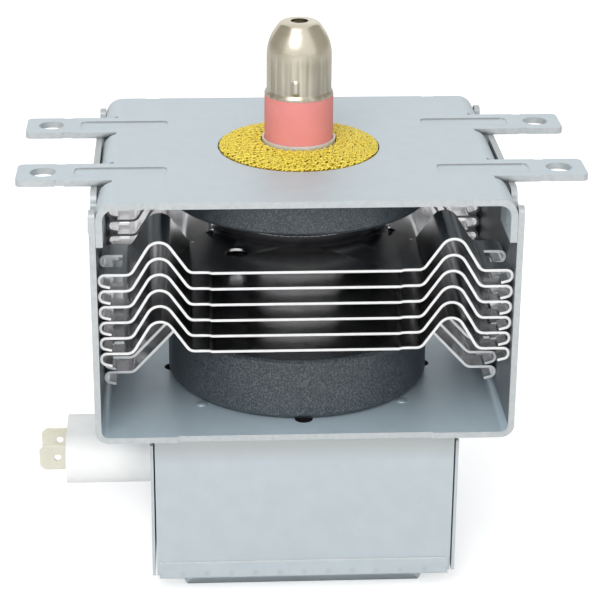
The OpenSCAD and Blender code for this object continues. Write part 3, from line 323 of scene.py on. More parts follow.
def sheet_metal(name, colour, rough_low, rough_high, contrast=0.12, grain=0.06, scale=120.0, metallic=1.0):
    """Rolled metal with mottled tone, rolling streaks and uneven gloss."""
    material, tree, shader = new_material(name, metallic, rough_low)
    node = group_node(material, rolled_sheet_group, Mottle_Scale=scale)
    dark, light = grey(colour, 1 - contrast), grey(colour, 1 + contrast / 2)
    base = mix_colour(tree, node.outputs["Mottle"], dark, light)
    base = mix_colour(tree, span(tree, node.outputs["Streak"], 0.0, 0.25), base, dark)
    tree.links.new(base, shader.inputs["Base Color"])
    tree.links.new(span(tree, node.outputs["Mottle"], rough_low, rough_high), shader.inputs["Roughness"])
    bump(tree, node.outputs["Height"], shader, grain, 0.02 * MM)
    return material


def zinc_sheet(name, colour, rough, metallic, contrast=0.04):
    """Zinc-coated steel with a close, faint mottle."""
    return sheet_metal(name, colour, rough, rough + 0.06, contrast=contrast, scale=260.0, metallic=metallic)


def fired_body(name, colour, roughness, speck_colour, speck_level, grain=0.2, scale=1500.0, contrast=0.06):
    """Ceramic, ferrite or resin with fine specks."""
    material, tree, shader = new_material(name, 0.0, roughness)
    node = group_node(material, fine_grain_group, Grain_Scale=scale, Speck_Level=speck_level)
    base = mix_colour(tree, node.outputs["Cloud"], grey(colour, 1 - contrast), grey(colour, 1 + contrast))
    base = mix_colour(tree, node.outputs["Speck"], base, tuple(speck_colour) + (1.0,))
    tree.links.new(base, shader.inputs["Base Color"])
    gloss = span(tree, node.outputs["Speck"], roughness, max(0.2, roughness - 0.15))
    tree.links.new(gloss, shader.inputs["Roughness"])
    bump(tree, node.outputs["Height"], shader, grain, 0.05 * MM)
    return material


MATERIALS = {}


def make_materials():
    f = finishes()
    m = MATERIALS
    m["zinc"] = sheet_metal("zinc_sheet", f.zinc, 0.48, 0.56, contrast=0.04, scale=260.0, metallic=0.35)
    # Painted shade: the box's zinc darkens along its top, under the yoke's overhang.
    m["zinc_box"] = painted_shade_under_yoke(f.zinc_box)
    m["zinc_lid"] = crimped_lip(f.zinc_box)
    # Painted shade: a darker copy of the yoke's zinc for its inner walls.
    m["shaded_wall_zinc"] = zinc_sheet("shaded_wall_zinc_sheet", f.shaded_wall_zinc, 0.42, 0.5)
    # Painted light: a brighter copy of the yoke's zinc for its floor, with painted shade towards its rear.
    m["lit_shaded_floor_zinc"] = painted_light_and_shade_floor(f.lit_shaded_floor_zinc)
    m["edge"] = sheet_metal("sheared_edge", f.cut_edge, 0.4, 0.5, contrast=0.1, scale=900.0, metallic=0.4)
    m["fin_edge"] = sheet_metal("sheared_fin_edge", f.fin_edge, 0.35, 0.45, contrast=0.06, scale=700.0,
                                metallic=0.3)
    m["fin"] = sheet_metal("rolled_fin", f.fin, 0.18, 0.24, contrast=0.03, grain=0.02)
    m["seal"] = sheet_metal("plated_seal", (0.66, 0.65, 0.62), 0.25, 0.35)
    m["foot"] = sheet_metal("plated_foot", (0.72, 0.72, 0.71), 0.35, 0.45, metallic=0.35)
    # Dark iron of the pole pieces, also laid on hole walls and the top fin's collar as painted shade.
    m["pole"] = sheet_metal("pole_iron_and_painted_shade", (0.05, 0.05, 0.055), 0.5, 0.65, metallic=0.5)
    m["copper"] = sheet_metal("bare_copper", f.copper, 0.25, 0.38)
    # Painted shade: the anode's copper turns dark above the top fin, under the upper magnet.
    m["tarnished"] = painted_shade_on_anode("tarnished_copper_painted_shade", (0.72, 0.69, 0.66))
    m["enamel"] = sheet_metal("enamelled_wire", (0.5, 0.2, 0.1), 0.2, 0.3)
    m["tungsten"] = sheet_metal("drawn_tungsten", (0.2, 0.19, 0.18), 0.4, 0.55)
    m["tin"] = sheet_metal("tinned_tab", f.tin, 0.3, 0.42, contrast=0.1, metallic=0.6)
    m["gold"] = sheet_metal("gold_wire", f.gold, 0.12, 0.2, contrast=0.15, scale=1400.0, metallic=0.05)
    # Painted shade: the dark core stands for the shade deep in the knit.
    m["painted_shade_core"] = sheet_metal("painted_shade_core", (0.62, 0.37, 0.02), 0.4, 0.6, contrast=0.3, scale=900.0,
                                 metallic=0.3)
    m["rivet"] = sheet_metal("rivet_heads", grey(f.lit_shaded_floor_zinc, 0.6)[:3], 0.42, 0.5, contrast=0.1,
                             metallic=0.5)
    m["ferrite"] = fired_body("ferrite_body", f.ferrite, 0.4, (0.10, 0.116, 0.126), 0.5, grain=0.6,
                               scale=3000.0)
    m["pink"] = fired_body("pink_alumina", f.pink, 0.55, (0.7, 0.3, 0.27), 0.62, grain=0.12, scale=1300.0)
    m["alumina"] = fired_body("white_alumina", (0.85, 0.83, 0.79), 0.55, (0.7, 0.68, 0.64), 0.66)
    m["resin"] = fired_body("white_resin", f.resin, 0.42, (0.78, 0.78, 0.77), 0.66, grain=0.08)
    m["nickel"] = streaked_nickel(f.nickel)


def crimp_dots_group():
    """Row of soft round marks along X at one height."""
    group, inp, out = new_group(
        "Crimp dots",
        [("Vector", "NodeSocketVector", (0, 0, 0)), ("Pitch", "NodeSocketFloat", 5.6 * MM),
         ("Height", "NodeSocketFloat", 0.0), ("Radius", "NodeSocketFloat", 1.0 * MM)],
        [("Dot", "NodeSocketFloat")],
    )
    split = group.nodes.new("ShaderNodeSeparateXYZ")
    group.links.new(inp.outputs["Vector"], split.inputs[0])
    half_pitch = math_node(group, "MULTIPLY", inp.outputs["Pitch"], 0.5)
    across = math_node(group, "PINGPONG", split.outputs["X"], half_pitch)
    up = math_node(group, "SUBTRACT", split.outputs["Z"], inp.outputs["Height"])
    far = math_node(group, "ADD", math_node(group, "POWER", across, 2.0), math_node(group, "POWER", up, 2.0))
    far = math_node(group, "DIVIDE", math_node(group, "SQRT", far), inp.outputs["Radius"])
    group.links.new(math_node(group, "SUBTRACT", 1.0, far, clamp=True), out.inputs["Dot"])
    return group


def crimped_lip(colour):
    """Box sheet with the row of crimp marks along the lid's lip."""
    material = zinc_sheet("zinc_lid_sheet", colour, 0.42, 0.5, contrast=0.06)
    tree = material.node_tree
    shader = tree.nodes["Principled BSDF"]
    dots = group_node(material, crimp_dots_group, Height=FLOOR_Z + LIP_DOTS_Z)
    plain = shader.inputs["Base Color"].links[0].from_socket
    mask = span(tree, dots.outputs["Dot"], 0.0, 0.5)
    tree.links.new(mix_colour(tree, mask, plain, grey(colour, 0.7)), shader.inputs["Base Color"])
    return material


def change_along(axis, material, low, high, colour, amount=1.0):
    """Blends a material's base colour into another one between two places on an axis."""
    tree = material.node_tree
    shader = tree.nodes["Principled BSDF"]
    coords = tree.nodes.new("ShaderNodeTexCoord")
    split = tree.nodes.new("ShaderNodeSeparateXYZ")
    tree.links.new(coords.outputs["Object"], split.inputs[0])
    mask = span(tree, ramp(tree, split.outputs[axis], low, high), 0.0, amount)
    plain = shader.inputs["Base Color"].links[0].from_socket
    tree.links.new(mix_colour(tree, mask, plain, colour), shader.inputs["Base Color"])
    return material


def painted_shade_on_anode(name, colour):
    """Dull copper with painted shade: its upper end, above the top fin's collar, is near black where the
    upper magnet shades it.
    """
    material = sheet_metal(name, colour, 0.38, 0.46, contrast=0.05)
    # The near-black blend above the top fin's flat is painted shade.
    return change_along("Z", material, FIN_FLAT_Z, FIN_FLAT_Z + 1.0 * MM, grey(colour, 0.05))


def painted_light_and_shade_floor(colour):
    """Floor sheet with painted light, bright along its front, and painted shade that darkens it towards the
    rear.
    """
    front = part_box("lower_yoke")[0].y
    material = zinc_sheet("lit_shaded_floor_zinc_sheet", colour, 0.38, 0.36)
    # The blend to a darker grey behind the front is painted shade.
    return change_along("Y", material, front + 2.0 * MM, front + 26.0 * MM, grey(colour, 0.68))


def painted_shade_under_yoke(colour):
    """Box sheet with painted shade along its top: darker and warmer under the yoke's overhang."""
    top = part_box("filter_box")[1].z
    material = zinc_sheet("zinc_box_sheet", colour, 0.42, 0.5)
    # The blend towards warm grey near the top is painted shade from the yoke's overhang.
    return change_along("Z", material, top - 6.5 * MM, top - 2.5 * MM, (0.42, 0.44, 0.43, 1.0), 0.75)


def streaked_nickel(colour):
    """Drawn cap: streaks run up the wall, with a little warm tarnish."""
    material, tree, shader = new_material("drawn_nickel", 1.0, 0.2)
    coords = tree.nodes.new("ShaderNodeTexCoord")
    streak = noise(tree, stretched(tree, coords.outputs["Object"], (1.0, 1.0, 0.03)), 1300.0, 2.0)
    cloud = noise(tree, coords.outputs["Object"], 160.0, 3.0)
    split = tree.nodes.new("ShaderNodeSeparateXYZ")
    tree.links.new(coords.outputs["Object"], split.inputs[0])
    wall = ramp(tree, split.outputs["Z"], CAP_STREAKS_HIGH, CAP_STREAKS_LOW)
    streak = math_node(tree, "MULTIPLY", ramp(tree, streak, 0.3, 0.7), wall)
    base = mix_colour(tree, streak, grey(colour, 1.0), grey(colour, 0.62))
    tarnish = span(tree, ramp(tree, cloud, 0.45, 0.75), 0.0, 0.35)
    base = mix_colour(tree, tarnish, base, (0.42, 0.34, 0.24, 1.0))
    tree.links.new(base, shader.inputs["Base Color"])
    tree.links.new(span(tree, streak, 0.27, 0.32), shader.inputs["Roughness"])
    bump(tree, streak, shader, 0.06, 0.02 * MM)
    return material


# Mesh helpers

def link(name, mesh, materials):
    piece = bpy.data.objects.new(name, mesh)
    bpy.context.scene.collection.objects.link(piece)
    for key in materials:
        mesh.materials.append(MATERIALS[key])
    return piece


def settle(piece, slot, *nodes):
    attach(piece, "root")
    if nodes:
        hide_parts(*nodes)


def smooth(mesh, angle=30.0):
    mesh.polygons.foreach_set("use_smooth", [True] * len(mesh.polygons))
    mesh.set_sharp_from_angle(angle=math.radians(angle))
    mesh.update()


def keep_result(piece, modifier):
    """Takes what a modifier gives as the piece's own mesh and removes the modifier."""
    bpy.context.view_layer.update()
    evaluated = piece.evaluated_get(bpy.context.evaluated_depsgraph_get())
    mesh = bpy.data.meshes.new_from_object(evaluated)
    piece.modifiers.remove(modifier)
    old = piece.data
    piece.data = mesh
    bpy.data.meshes.remove(old)


def weigh_normals(piece):
    """Keeps broad flats flat beside rounded folds."""
    modifier = piece.modifiers.new("weigh", "WEIGHTED_NORMAL")
    modifier.keep_sharp = True
    modifier.weight = 80
    keep_result(piece, modifier)


def merged_mesh(node):
    """A copy of a node's triangles with doubles merged and flat faces joined."""
    bm = bmesh.new()
    bm.from_mesh(NODES[node].data)
    bmesh.ops.remove_doubles(bm, verts=bm.verts, dist=0.002 * MM)
    bmesh.ops.dissolve_limit(bm, angle_limit=math.radians(0.4), verts=bm.verts, edges=bm.edges)
    return bm


def turned(name, section, steps, shape=None):
    """Closed section of (radius, z) points turned about Z; shape may change the radius."""
    bm = bmesh.new()
    rings = []
    for radius, z in section:
        ring = []
        for i in range(steps):
            a = 2 * math.pi * i / steps
            r = shape(radius, a, z) if shape else radius
            ring.append(bm.verts.new((r * math.cos(a), r * math.sin(a), z)))
        rings.append(ring)
    for lower, upper in zip(rings, rings[1:] + rings[:1]):
        for i in range(steps):
            k = (i + 1) % steps
            bm.faces.new((lower[i], lower[k], upper[k], upper[i]))
    bmesh.ops.recalc_face_normals(bm, faces=bm.faces)
    mesh = bpy.data.meshes.new(name)
    bm.to_mesh(mesh)
    bm.free()
    return mesh


def soften(bm, width, angle=40.0):
    """Rounds the sharp edges between two faces by a small width."""
    limit = math.radians(angle)
    edges = [e for e in bm.edges if len(e.link_faces) == 2 and e.calc_face_angle(0.0) > limit]
    bmesh.ops.bevel(bm, geom=edges, offset=width, segments=2, profile=0.6, affect="EDGES",
                    clamp_overlap=True)


def dress(node, slot, materials, finish_of=None, width=0.0):
    """Shows a node as a smooth copy; finish_of gives the number of each face's material."""
    bm = merged_mesh(node)
    if finish_of:
        for face in bm.faces:
            face.material_index = int(finish_of(face.normal, face.calc_center_median()))
    if width:
        soften(bm, width)
    bmesh.ops.triangulate(bm, faces=[f for f in bm.faces if len(f.verts) > 4])
    mesh = bpy.data.meshes.new(node + "_finish")
    bm.to_mesh(mesh)
    bm.free()
    smooth(mesh)
    piece = link(node + "_finish", mesh, materials)
    weigh_normals(piece)
    settle(piece, slot, node)


def pierced(normal, centre, level):
    """Wall of a hole at the lower magnet's foot, near the level of the sheet it goes through; these walls
    are painted dark as shade.
    """
    near = abs(centre.z - level) < FOOT_HOLES_REACH
    return near and FOOT_HOLES_INNER < centre.xy.length < FOOT_HOLES_OUTER and abs(normal.z) < STEEP


def paint(node, key):
    """A node that stays as it is gets its finish."""
    node = NODES[node]
    node.data.materials.clear()
    node.data.materials.append(MATERIALS[key])


def modifier_input(modifier, label, value):
    for item in modifier.node_group.interface.items_tree:
        if item.item_type == "SOCKET" and item.in_out == "INPUT" and item.name == label:
            modifier[item.identifier] = value
            return
    raise KeyError(label)


def bake_nodes(piece, group, values):
    """Runs a Geometry Nodes tree on a piece and keeps the result as a plain mesh."""
    modifier = piece.modifiers.new("build", "NODES")
    modifier.node_group = group
    for label, value in values.items():
        modifier_input(modifier, label, value)
    keep_result(piece, modifier)


def geometry_group(name, inputs):
    group = bpy.data.node_groups.new(name, "GeometryNodeTree")
    group.interface.new_socket("Geometry", in_out="INPUT", socket_type="NodeSocketGeometry")
    for label, kind in inputs:
        group.interface.new_socket(label, in_out="INPUT", socket_type=kind)
    group.interface.new_socket("Geometry", in_out="OUTPUT", socket_type="NodeSocketGeometry")
    return group, group.nodes.new("NodeGroupInput"), group.nodes.new("NodeGroupOutput")


def fin_stack_group():
    """Stacks copies of one fin downwards; cut edges are bright, and the lower fins' hole walls and the top
    fin's collar are painted dark as shade.
    """
    inputs = [("Count", "NodeSocketInt"), ("Pitch", "NodeSocketFloat"), ("Second Fin", "NodeSocketFloat")]
    group, inp, out = geometry_group("Fin stack", inputs)
    add, join = group.nodes.new, group.links.new
    row = add("GeometryNodeMeshLine")
    step = add("ShaderNodeCombineXYZ")
    flip = add("ShaderNodeMath")
    flip.operation = "MULTIPLY"
    flip.inputs[1].default_value = -1.0
    copies = add("GeometryNodeInstanceOnPoints")
    real = add("GeometryNodeRealizeInstances")
    rolled = add("GeometryNodeSetMaterial")
    rolled.inputs["Material"].default_value = MATERIALS["fin"]
    join(inp.outputs["Count"], row.inputs["Count"])
    join(inp.outputs["Pitch"], flip.inputs[0])
    join(flip.outputs[0], step.inputs["Z"])
    join(step.outputs[0], row.inputs["Offset"])
    join(row.outputs[0], copies.inputs["Points"])
    join(inp.outputs["Geometry"], copies.inputs["Instance"])
    join(copies.outputs[0], real.inputs[0])
    join(real.outputs[0], rolled.inputs["Geometry"])
    last = rolled
    place = add("GeometryNodeInputPosition")
    split = add("ShaderNodeSeparateXYZ")
    join(place.outputs[0], split.inputs[0])
    # Lower fins' hole walls and the top fin's collar take the dark pole finish as painted shade.
    for label, key, side in (("cut", "fin_edge", 0), ("pierced", "pole", -1), ("collar", "pole", 1)):
        mark = add("GeometryNodeInputNamedAttribute")
        mark.data_type = "BOOLEAN"
        mark.inputs["Name"].default_value = label
        chosen = mark.outputs["Attribute"]
        if side:
            over = add("FunctionNodeCompare")
            over.operation = "GREATER_THAN" if side > 0 else "LESS_THAN"
            join(split.outputs["Z"], over.inputs["A"])
            join(inp.outputs["Second Fin"], over.inputs["B"])
            both = add("FunctionNodeBooleanMath")
            join(chosen, both.inputs[0])
            join(over.outputs[0], both.inputs[1])
            chosen = both.outputs[0]
        finish = add("GeometryNodeSetMaterial")
        finish.inputs["Material"].default_value = MATERIALS[key]
        join(last.outputs[0], finish.inputs["Geometry"])
        join(chosen, finish.inputs["Selection"])
        last = finish
    join(last.outputs[0], out.inputs[0])
    return group


def wire_group():
    """Turns drawn paths into round wire."""
    inputs = [("Radius", "NodeSocketFloat"), ("Sides", "NodeSocketInt")]
    group, inp, out = geometry_group("Round wire", inputs)
    add, join = group.nodes.new, group.links.new
    curve = add("GeometryNodeMeshToCurve")
    section = add("GeometryNodeCurvePrimitiveCircle")
    tube = add("GeometryNodeCurveToMesh")
    shade = add("GeometryNodeSetShadeSmooth")
    real = add("GeometryNodeRealizeInstances")
    metal = add("GeometryNodeSetMaterial")
    metal.inputs["Material"].default_value = MATERIALS["gold"]
    join(inp.outputs["Geometry"], curve.inputs[0])
    join(inp.outputs["Radius"], section.inputs["Radius"])
    join(inp.outputs["Sides"], section.inputs["Resolution"])
    join(curve.outputs[0], tube.inputs["Curve"])
    join(section.outputs[0], tube.inputs["Profile Curve"])
    join(tube.outputs[0], shade.inputs[0])
    join(shade.outputs[0], real.inputs[0])
    join(real.outputs[0], metal.inputs["Geometry"])
    join(metal.outputs[0], out.inputs[0])
    return group


# Pieces

class MAGNETRON_OT_finishes(Operator):
    """Makes the finishes that the pieces share."""

    bl_idname = "magnetron.finishes"
    bl_label = "Make finishes"

    def execute(self, context):
        make_materials()
        return {"FINISHED"}


class MAGNETRON_OT_yokes(Operator):
    """Dresses both yokes and the ring under the gasket, with bright sheared edges."""

    bl_idname = "magnetron.yokes"
    bl_label = "Dress the yokes"

    def execute(self, context):
        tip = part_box("upper_yoke")[1].x - EAR_TIP
        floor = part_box("lower_yoke")[0].z
        lower_finishes = ["lit_shaded_floor_zinc", "edge", "shaded_wall_zinc", "pole", "zinc"]

        def upper_finish(n, c):
            return abs(n.y) > STEEP or (abs(c.x) > tip and abs(n.z) < STEEP)

        def lower_finish(n, c):
            outwards = math.copysign(n.x, n.x * c.x)
            # Hole walls at the magnet's foot take the dark pole finish as painted shade.
            if pierced(n, c, floor):
                return lower_finishes.index("pole")
            if abs(n.y) > STEEP or (n.z > STEEP and c.z > floor + WALL_TOPS):
                return lower_finishes.index("edge")
            if outwards > 0.2 or n.z < -STEEP:
                return lower_finishes.index("zinc")
            # Inner walls take the darker zinc as painted shade, the floor the brighter zinc as painted
            # light.
            return lower_finishes.index("shaded_wall_zinc" if c.z > floor + WALL_FOOT else "lit_shaded_floor_zinc")

        dress("upper_yoke", "galvanised_steel", ["zinc", "edge"], upper_finish)
        dress("lower_yoke", "galvanised_steel", lower_finishes, lower_finish)
        dress("yoke_rivets", "galvanised_steel", ["zinc"])
        dress("gasket_ring", "galvanised_steel", ["zinc"])
        return {"FINISHED"}


class MAGNETRON_OT_magnets(Operator):
    """Dresses the two ring magnets."""

    bl_idname = "magnetron.magnets"
    bl_label = "Dress the magnets"

    def execute(self, context):
        for node in ("upper_magnet", "lower_magnet"):
            dress(node, "ferrite", ["ferrite"], width=0.25 * MM)
        return {"FINISHED"}


class MAGNETRON_OT_fins(Operator):
    """Stacks the folded fins, with mirroring rolled faces and bright sheared edges."""

    bl_idname = "magnetron.fins"
    bl_label = "Stack the fins"

    def execute(self, context):
        bm = merged_mesh(FINS[0])
        cut, hole, collar = [bm.faces.layers.bool.new(label) for label in ("cut", "pierced", "collar")]
        for face in bm.faces:
            centre = face.calc_center_median()
            upright = abs(face.normal.z) < 0.95 and abs(centre.x) < FIN_FLAT_X
            face[collar] = upright and centre.xy.length < COLLAR_RADIUS
            face[hole] = upright and abs(centre.y) < FIN_HOLES_Y and not face[collar]
            face[cut] = abs(face.normal.y) > 0.7 and not (face[collar] or face[hole])
        bmesh.ops.triangulate(bm, faces=[f for f in bm.faces if len(f.verts) > 4])
        mesh = bpy.data.meshes.new("fin_stack")
        bm.to_mesh(mesh)
        bm.free()
        smooth(mesh)
        piece = link("fin_stack", mesh, [])
        weigh_normals(piece)
        pitch = sizes().fin_pitch
        bake_nodes(piece, fin_stack_group(),
                   {"Count": sizes().fin_count, "Pitch": pitch, "Second Fin": FIN_FLAT_Z - pitch / 3})
        settle(piece, "fin_aluminium", *FINS)
        return {"FINISHED"}


class MAGNETRON_OT_antenna(Operator):
    """Turns the drawn cap with its crimp mark, and dresses the ceramic and its metal foot."""

    bl_idname = "magnetron.antenna"
    bl_label = "Dress the antenna"

    def execute(self, context):
        low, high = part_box("antenna_cap")
        middle = self.middle_line(low.z, high.z, high.x)
        section = self.offset(middle, CAP_SHEET / 2) + self.offset(middle, -CAP_SHEET / 2)[::-1]

        def crimped(radius, angle, z):
            side = (angle - CRIMP_ANGLE) * radius / CRIMP_HALF_WIDTH
            head = max(0.0, z - low.z - CRIMP_HIGH) / CRIMP_HIGH_FADE
            foot = max(0.0, low.z + CRIMP_LOW - z) / CRIMP_LOW_FADE
            return radius + sizes().crimp_rise * math.exp(-side ** 6 - head * head - foot * foot)

        mesh = turned("drawn_cap", section, sizes().cap_segments, crimped)
        smooth(mesh, 50.0)
        settle(link("drawn_cap", mesh, ["nickel"]), "nickel_cap", "antenna_cap")
        dress("antenna_ceramic", "pink_ceramic", ["pink"], width=0.2 * MM)
        dress("output_seal_cup", "seal_steel", ["foot"], width=0.12 * MM)
        return {"FINISHED"}

    def middle_line(self, bottom, top, rim):
        """Middle of the cap's sheet from its rim over the nose to the hole, with rounded corners."""
        half = CAP_SHEET / 2
        corners = [
            (rim - half, bottom, 0.0),
            (rim - half, bottom + CAP_FLARE_LOW, CAP_FLARE_ROUND),
            (CAP_RADIUS - half, bottom + CAP_FLARE_HIGH, CAP_FLARE_ROUND),
            (CAP_RADIUS - half, top - CAP_SHOULDER_DROP, CAP_SHOULDER_ROUND),
            (CAP_NOSE_RADIUS, top - half, CAP_NOSE_ROUND),
            (CAP_HOLE_RADIUS, top - half, 0.0),
        ]
        line = [Vector(corners[0][:2])]
        for before, here, after in zip(corners, corners[1:], corners[2:]):
            turn = self.arc(Vector(before[:2]), Vector(here[:2]), Vector(after[:2]), here[2])
            gap = math.ceil((turn[0] - line[-1]).length / CAP_RING_STEP)
            line += [line[-1].lerp(turn[0], i / gap) for i in range(1, gap)] + turn
        return line + [Vector(corners[-1][:2])]

    def arc(self, a, b, c, radius):
        """Points of the curve that rounds corner b."""
        u, v = (a - b).normalized(), (c - b).normalized()
        half = u.angle(v) / 2
        centre = b + (u + v).normalized() * radius / math.sin(half)
        start, end = b + u * radius / math.tan(half) - centre, b + v * radius / math.tan(half) - centre
        turn = start.angle_signed(end)
        steps = max(2, math.ceil(abs(turn) / math.radians(3.0)))
        return [centre + Matrix.Rotation(-turn * i / steps, 2) @ start for i in range(steps + 1)]

    def offset(self, line, distance):
        """The line moved sideways, outwards for a positive distance."""
        moved = []
        for i, point in enumerate(line):
            along = (line[min(i + 1, len(line) - 1)] - line[max(i - 1, 0)]).normalized()
            moved.append((point.x + along.y * distance, point.y - along.x * distance))
        return moved


class MAGNETRON_OT_gasket(Operator):
    """Knits the crowned gold wire ring around the ceramic's foot, over a darker core that is painted shade
    between the loops.
    """

    bl_idname = "magnetron.gasket"
    bl_label = "Knit the gasket"

    def execute(self, context):
        s = sizes()
        low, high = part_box("rf_gasket")
        self.outer = high.x
        self.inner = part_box("antenna_ceramic")[1].x + KNIT_BORE_GAP
        self.core(low.z)
        shuffle = np.random.default_rng(KNIT_SEED)
        points, edges = [], []
        pitch = (self.outer - self.inner - 2 * s.knit_wire) / s.knit_rows
        for row in range(s.knit_rows):
            centre = self.inner + s.knit_wire + pitch * (row + 0.5)
            loops = round(2 * math.pi * centre / s.knit_loop)
            for strand in range(KNIT_STRANDS):
                self.strand(points, edges, shuffle, centre, pitch, loops, strand)
        mesh = bpy.data.meshes.new("knitted_gasket")
        mesh.from_pydata(points, edges, [])
        piece = link("knitted_gasket", mesh, [])
        bake_nodes(piece, wire_group(), {"Radius": s.knit_wire, "Sides": WIRE_SIDES})
        settle(piece, "gold_mesh", "rf_gasket")
        return {"FINISHED"}

    def crown(self, radius):
        """Height of the gasket's top at a radius."""
        s = sizes()
        u = (radius - self.inner) / (self.outer - self.inner)
        return s.knit_rim + s.knit_slope * (1 - u) + s.knit_crown * max(0.0, 4 * u * (1 - u))

    def core(self, bottom):
        """Ring that the loops lie on, coloured dark as painted shade deep in the knit."""
        inner, outer = self.inner + CORE_INNER_GAP, self.outer - CORE_OUTER_GAP
        depth = CORE_DEPTH_IN_WIRES * sizes().knit_wire
        radii = [inner + (outer - inner) * i / CORE_STEPS for i in range(CORE_STEPS + 1)]
        top = [(radius, self.crown(radius) - depth) for radius in radii]
        mesh = turned("gasket_core", [(inner, bottom)] + top + [(outer, bottom)], CORE_SEGMENTS)
        smooth(mesh)
        settle(link("gasket_core", mesh, ["painted_shade_core"]), "gold_mesh", "rf_gasket")

    def strand(self, points, edges, shuffle, centre, pitch, loops, strand):
        """One wavy ring of wire that swings across its row and rises and falls over the others."""
        first, steps, wire = len(points), loops * KNIT_STEPS, sizes().knit_wire
        jitter = shuffle.normal(0.0, 1.0, (loops, 3))
        lean = shuffle.uniform(0.0, 1.0)
        for i in range(steps):
            turn = i / steps
            t = turn * loops
            k = int(t)
            shake = jitter[k] * (1 - t + k) + jitter[(k + 1) % loops] * (t - k)
            phase = 2 * math.pi * (t + lean)
            radius = centre + pitch * (0.55 * math.sin(phase) + 0.12 * shake[0])
            radius = min(max(radius, self.inner + wire), self.outer - wire)
            sink = 1.3 + 1.3 * math.cos(2 * phase + strand) + 0.5 * abs(shake[1])
            a = 2 * math.pi * turn + pitch / centre * (0.4 * math.sin(2 * phase) + 0.15 * shake[2])
            points.append((radius * math.cos(a), radius * math.sin(a), self.crown(radius) - wire * sink))
            edges.append((first + i, first + (i + 1) % steps))


class MAGNETRON_OT_filter_box(Operator):
    """Dresses the filter box, its lid and the rivets."""

    bl_idname = "magnetron.filter_box"
    bl_label = "Dress the filter box"

    def execute(self, context):
        bottom, top = (c.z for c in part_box("filter_box"))
        finishes_of_box = ["zinc_box", "edge", "pole"]

        def box_finish(n, c):
            # Hole walls in the box's top take the dark pole finish as painted shade.
            if pierced(n, c, top):
                return finishes_of_box.index("pole")
            return n.z < -STEEP and c.z < bottom + BOX_RIM

        # The lip's upward top faces take the bright fin edge finish as a painted highlight.
        def lid_finish(n, c):
            return n.z > 0.7 and c.z > FLOOR_Z + LIP_DOTS_Z

        dress("filter_box", "box_steel", finishes_of_box, box_finish)
        dress("filter_box_lid", "box_steel", ["zinc_lid", "fin_edge"], lid_finish)
        dress("box_rivets", "galvanised_steel", ["rivet"])
        dress("capacitor_rivets", "galvanised_steel", ["zinc"])
        return {"FINISHED"}


class MAGNETRON_OT_capacitor(Operator):
    """Dresses the feed-through capacitor and its push-on tabs."""

    bl_idname = "magnetron.capacitor"
    bl_label = "Dress the capacitor"

    def execute(self, context):
        dress("capacitor_body", "white_resin", ["resin"], width=0.5 * MM)
        dress("terminal_front", "tinned_brass", ["tin"], width=0.08 * MM)
        dress("terminal_rear", "tinned_brass", ["tin"], width=0.08 * MM)
        paint("capacitor_flange", "zinc")
        return {"FINISHED"}


class MAGNETRON_OT_inner_pieces(Operator):
    """Gives the pieces inside the tube and the box their finishes."""

    bl_idname = "magnetron.inner_pieces"
    bl_label = "Finish the inner pieces"

    def execute(self, context):
        kinds = {
            # The anode's finish carries painted shade above the top fin.
            "tarnished": ["anode_cylinder"],
            "copper": ["anode_vanes", "upper_inner_strap", "upper_outer_strap",
                       "lower_inner_strap", "lower_outer_strap", "antenna_lead", "exhaust_tube"],
            "pole": ["upper_pole_piece", "lower_pole_piece"],
            "seal": ["input_seal_cup", "exhaust_sleeve", "stem_washers"],
            "tungsten": ["cathode_filament", "upper_end_hat", "lower_end_hat", "center_lead", "side_lead"],
            "alumina": ["lead_spacer", "stem_ceramic"],
            "enamel": ["choke_coil_front", "choke_coil_rear"],
            "ferrite": ["ferrite_core_front", "ferrite_core_rear"],
        }
        for key, nodes in kinds.items():
            for node in nodes:
                paint(node, key)
        return {"FINISHED"}


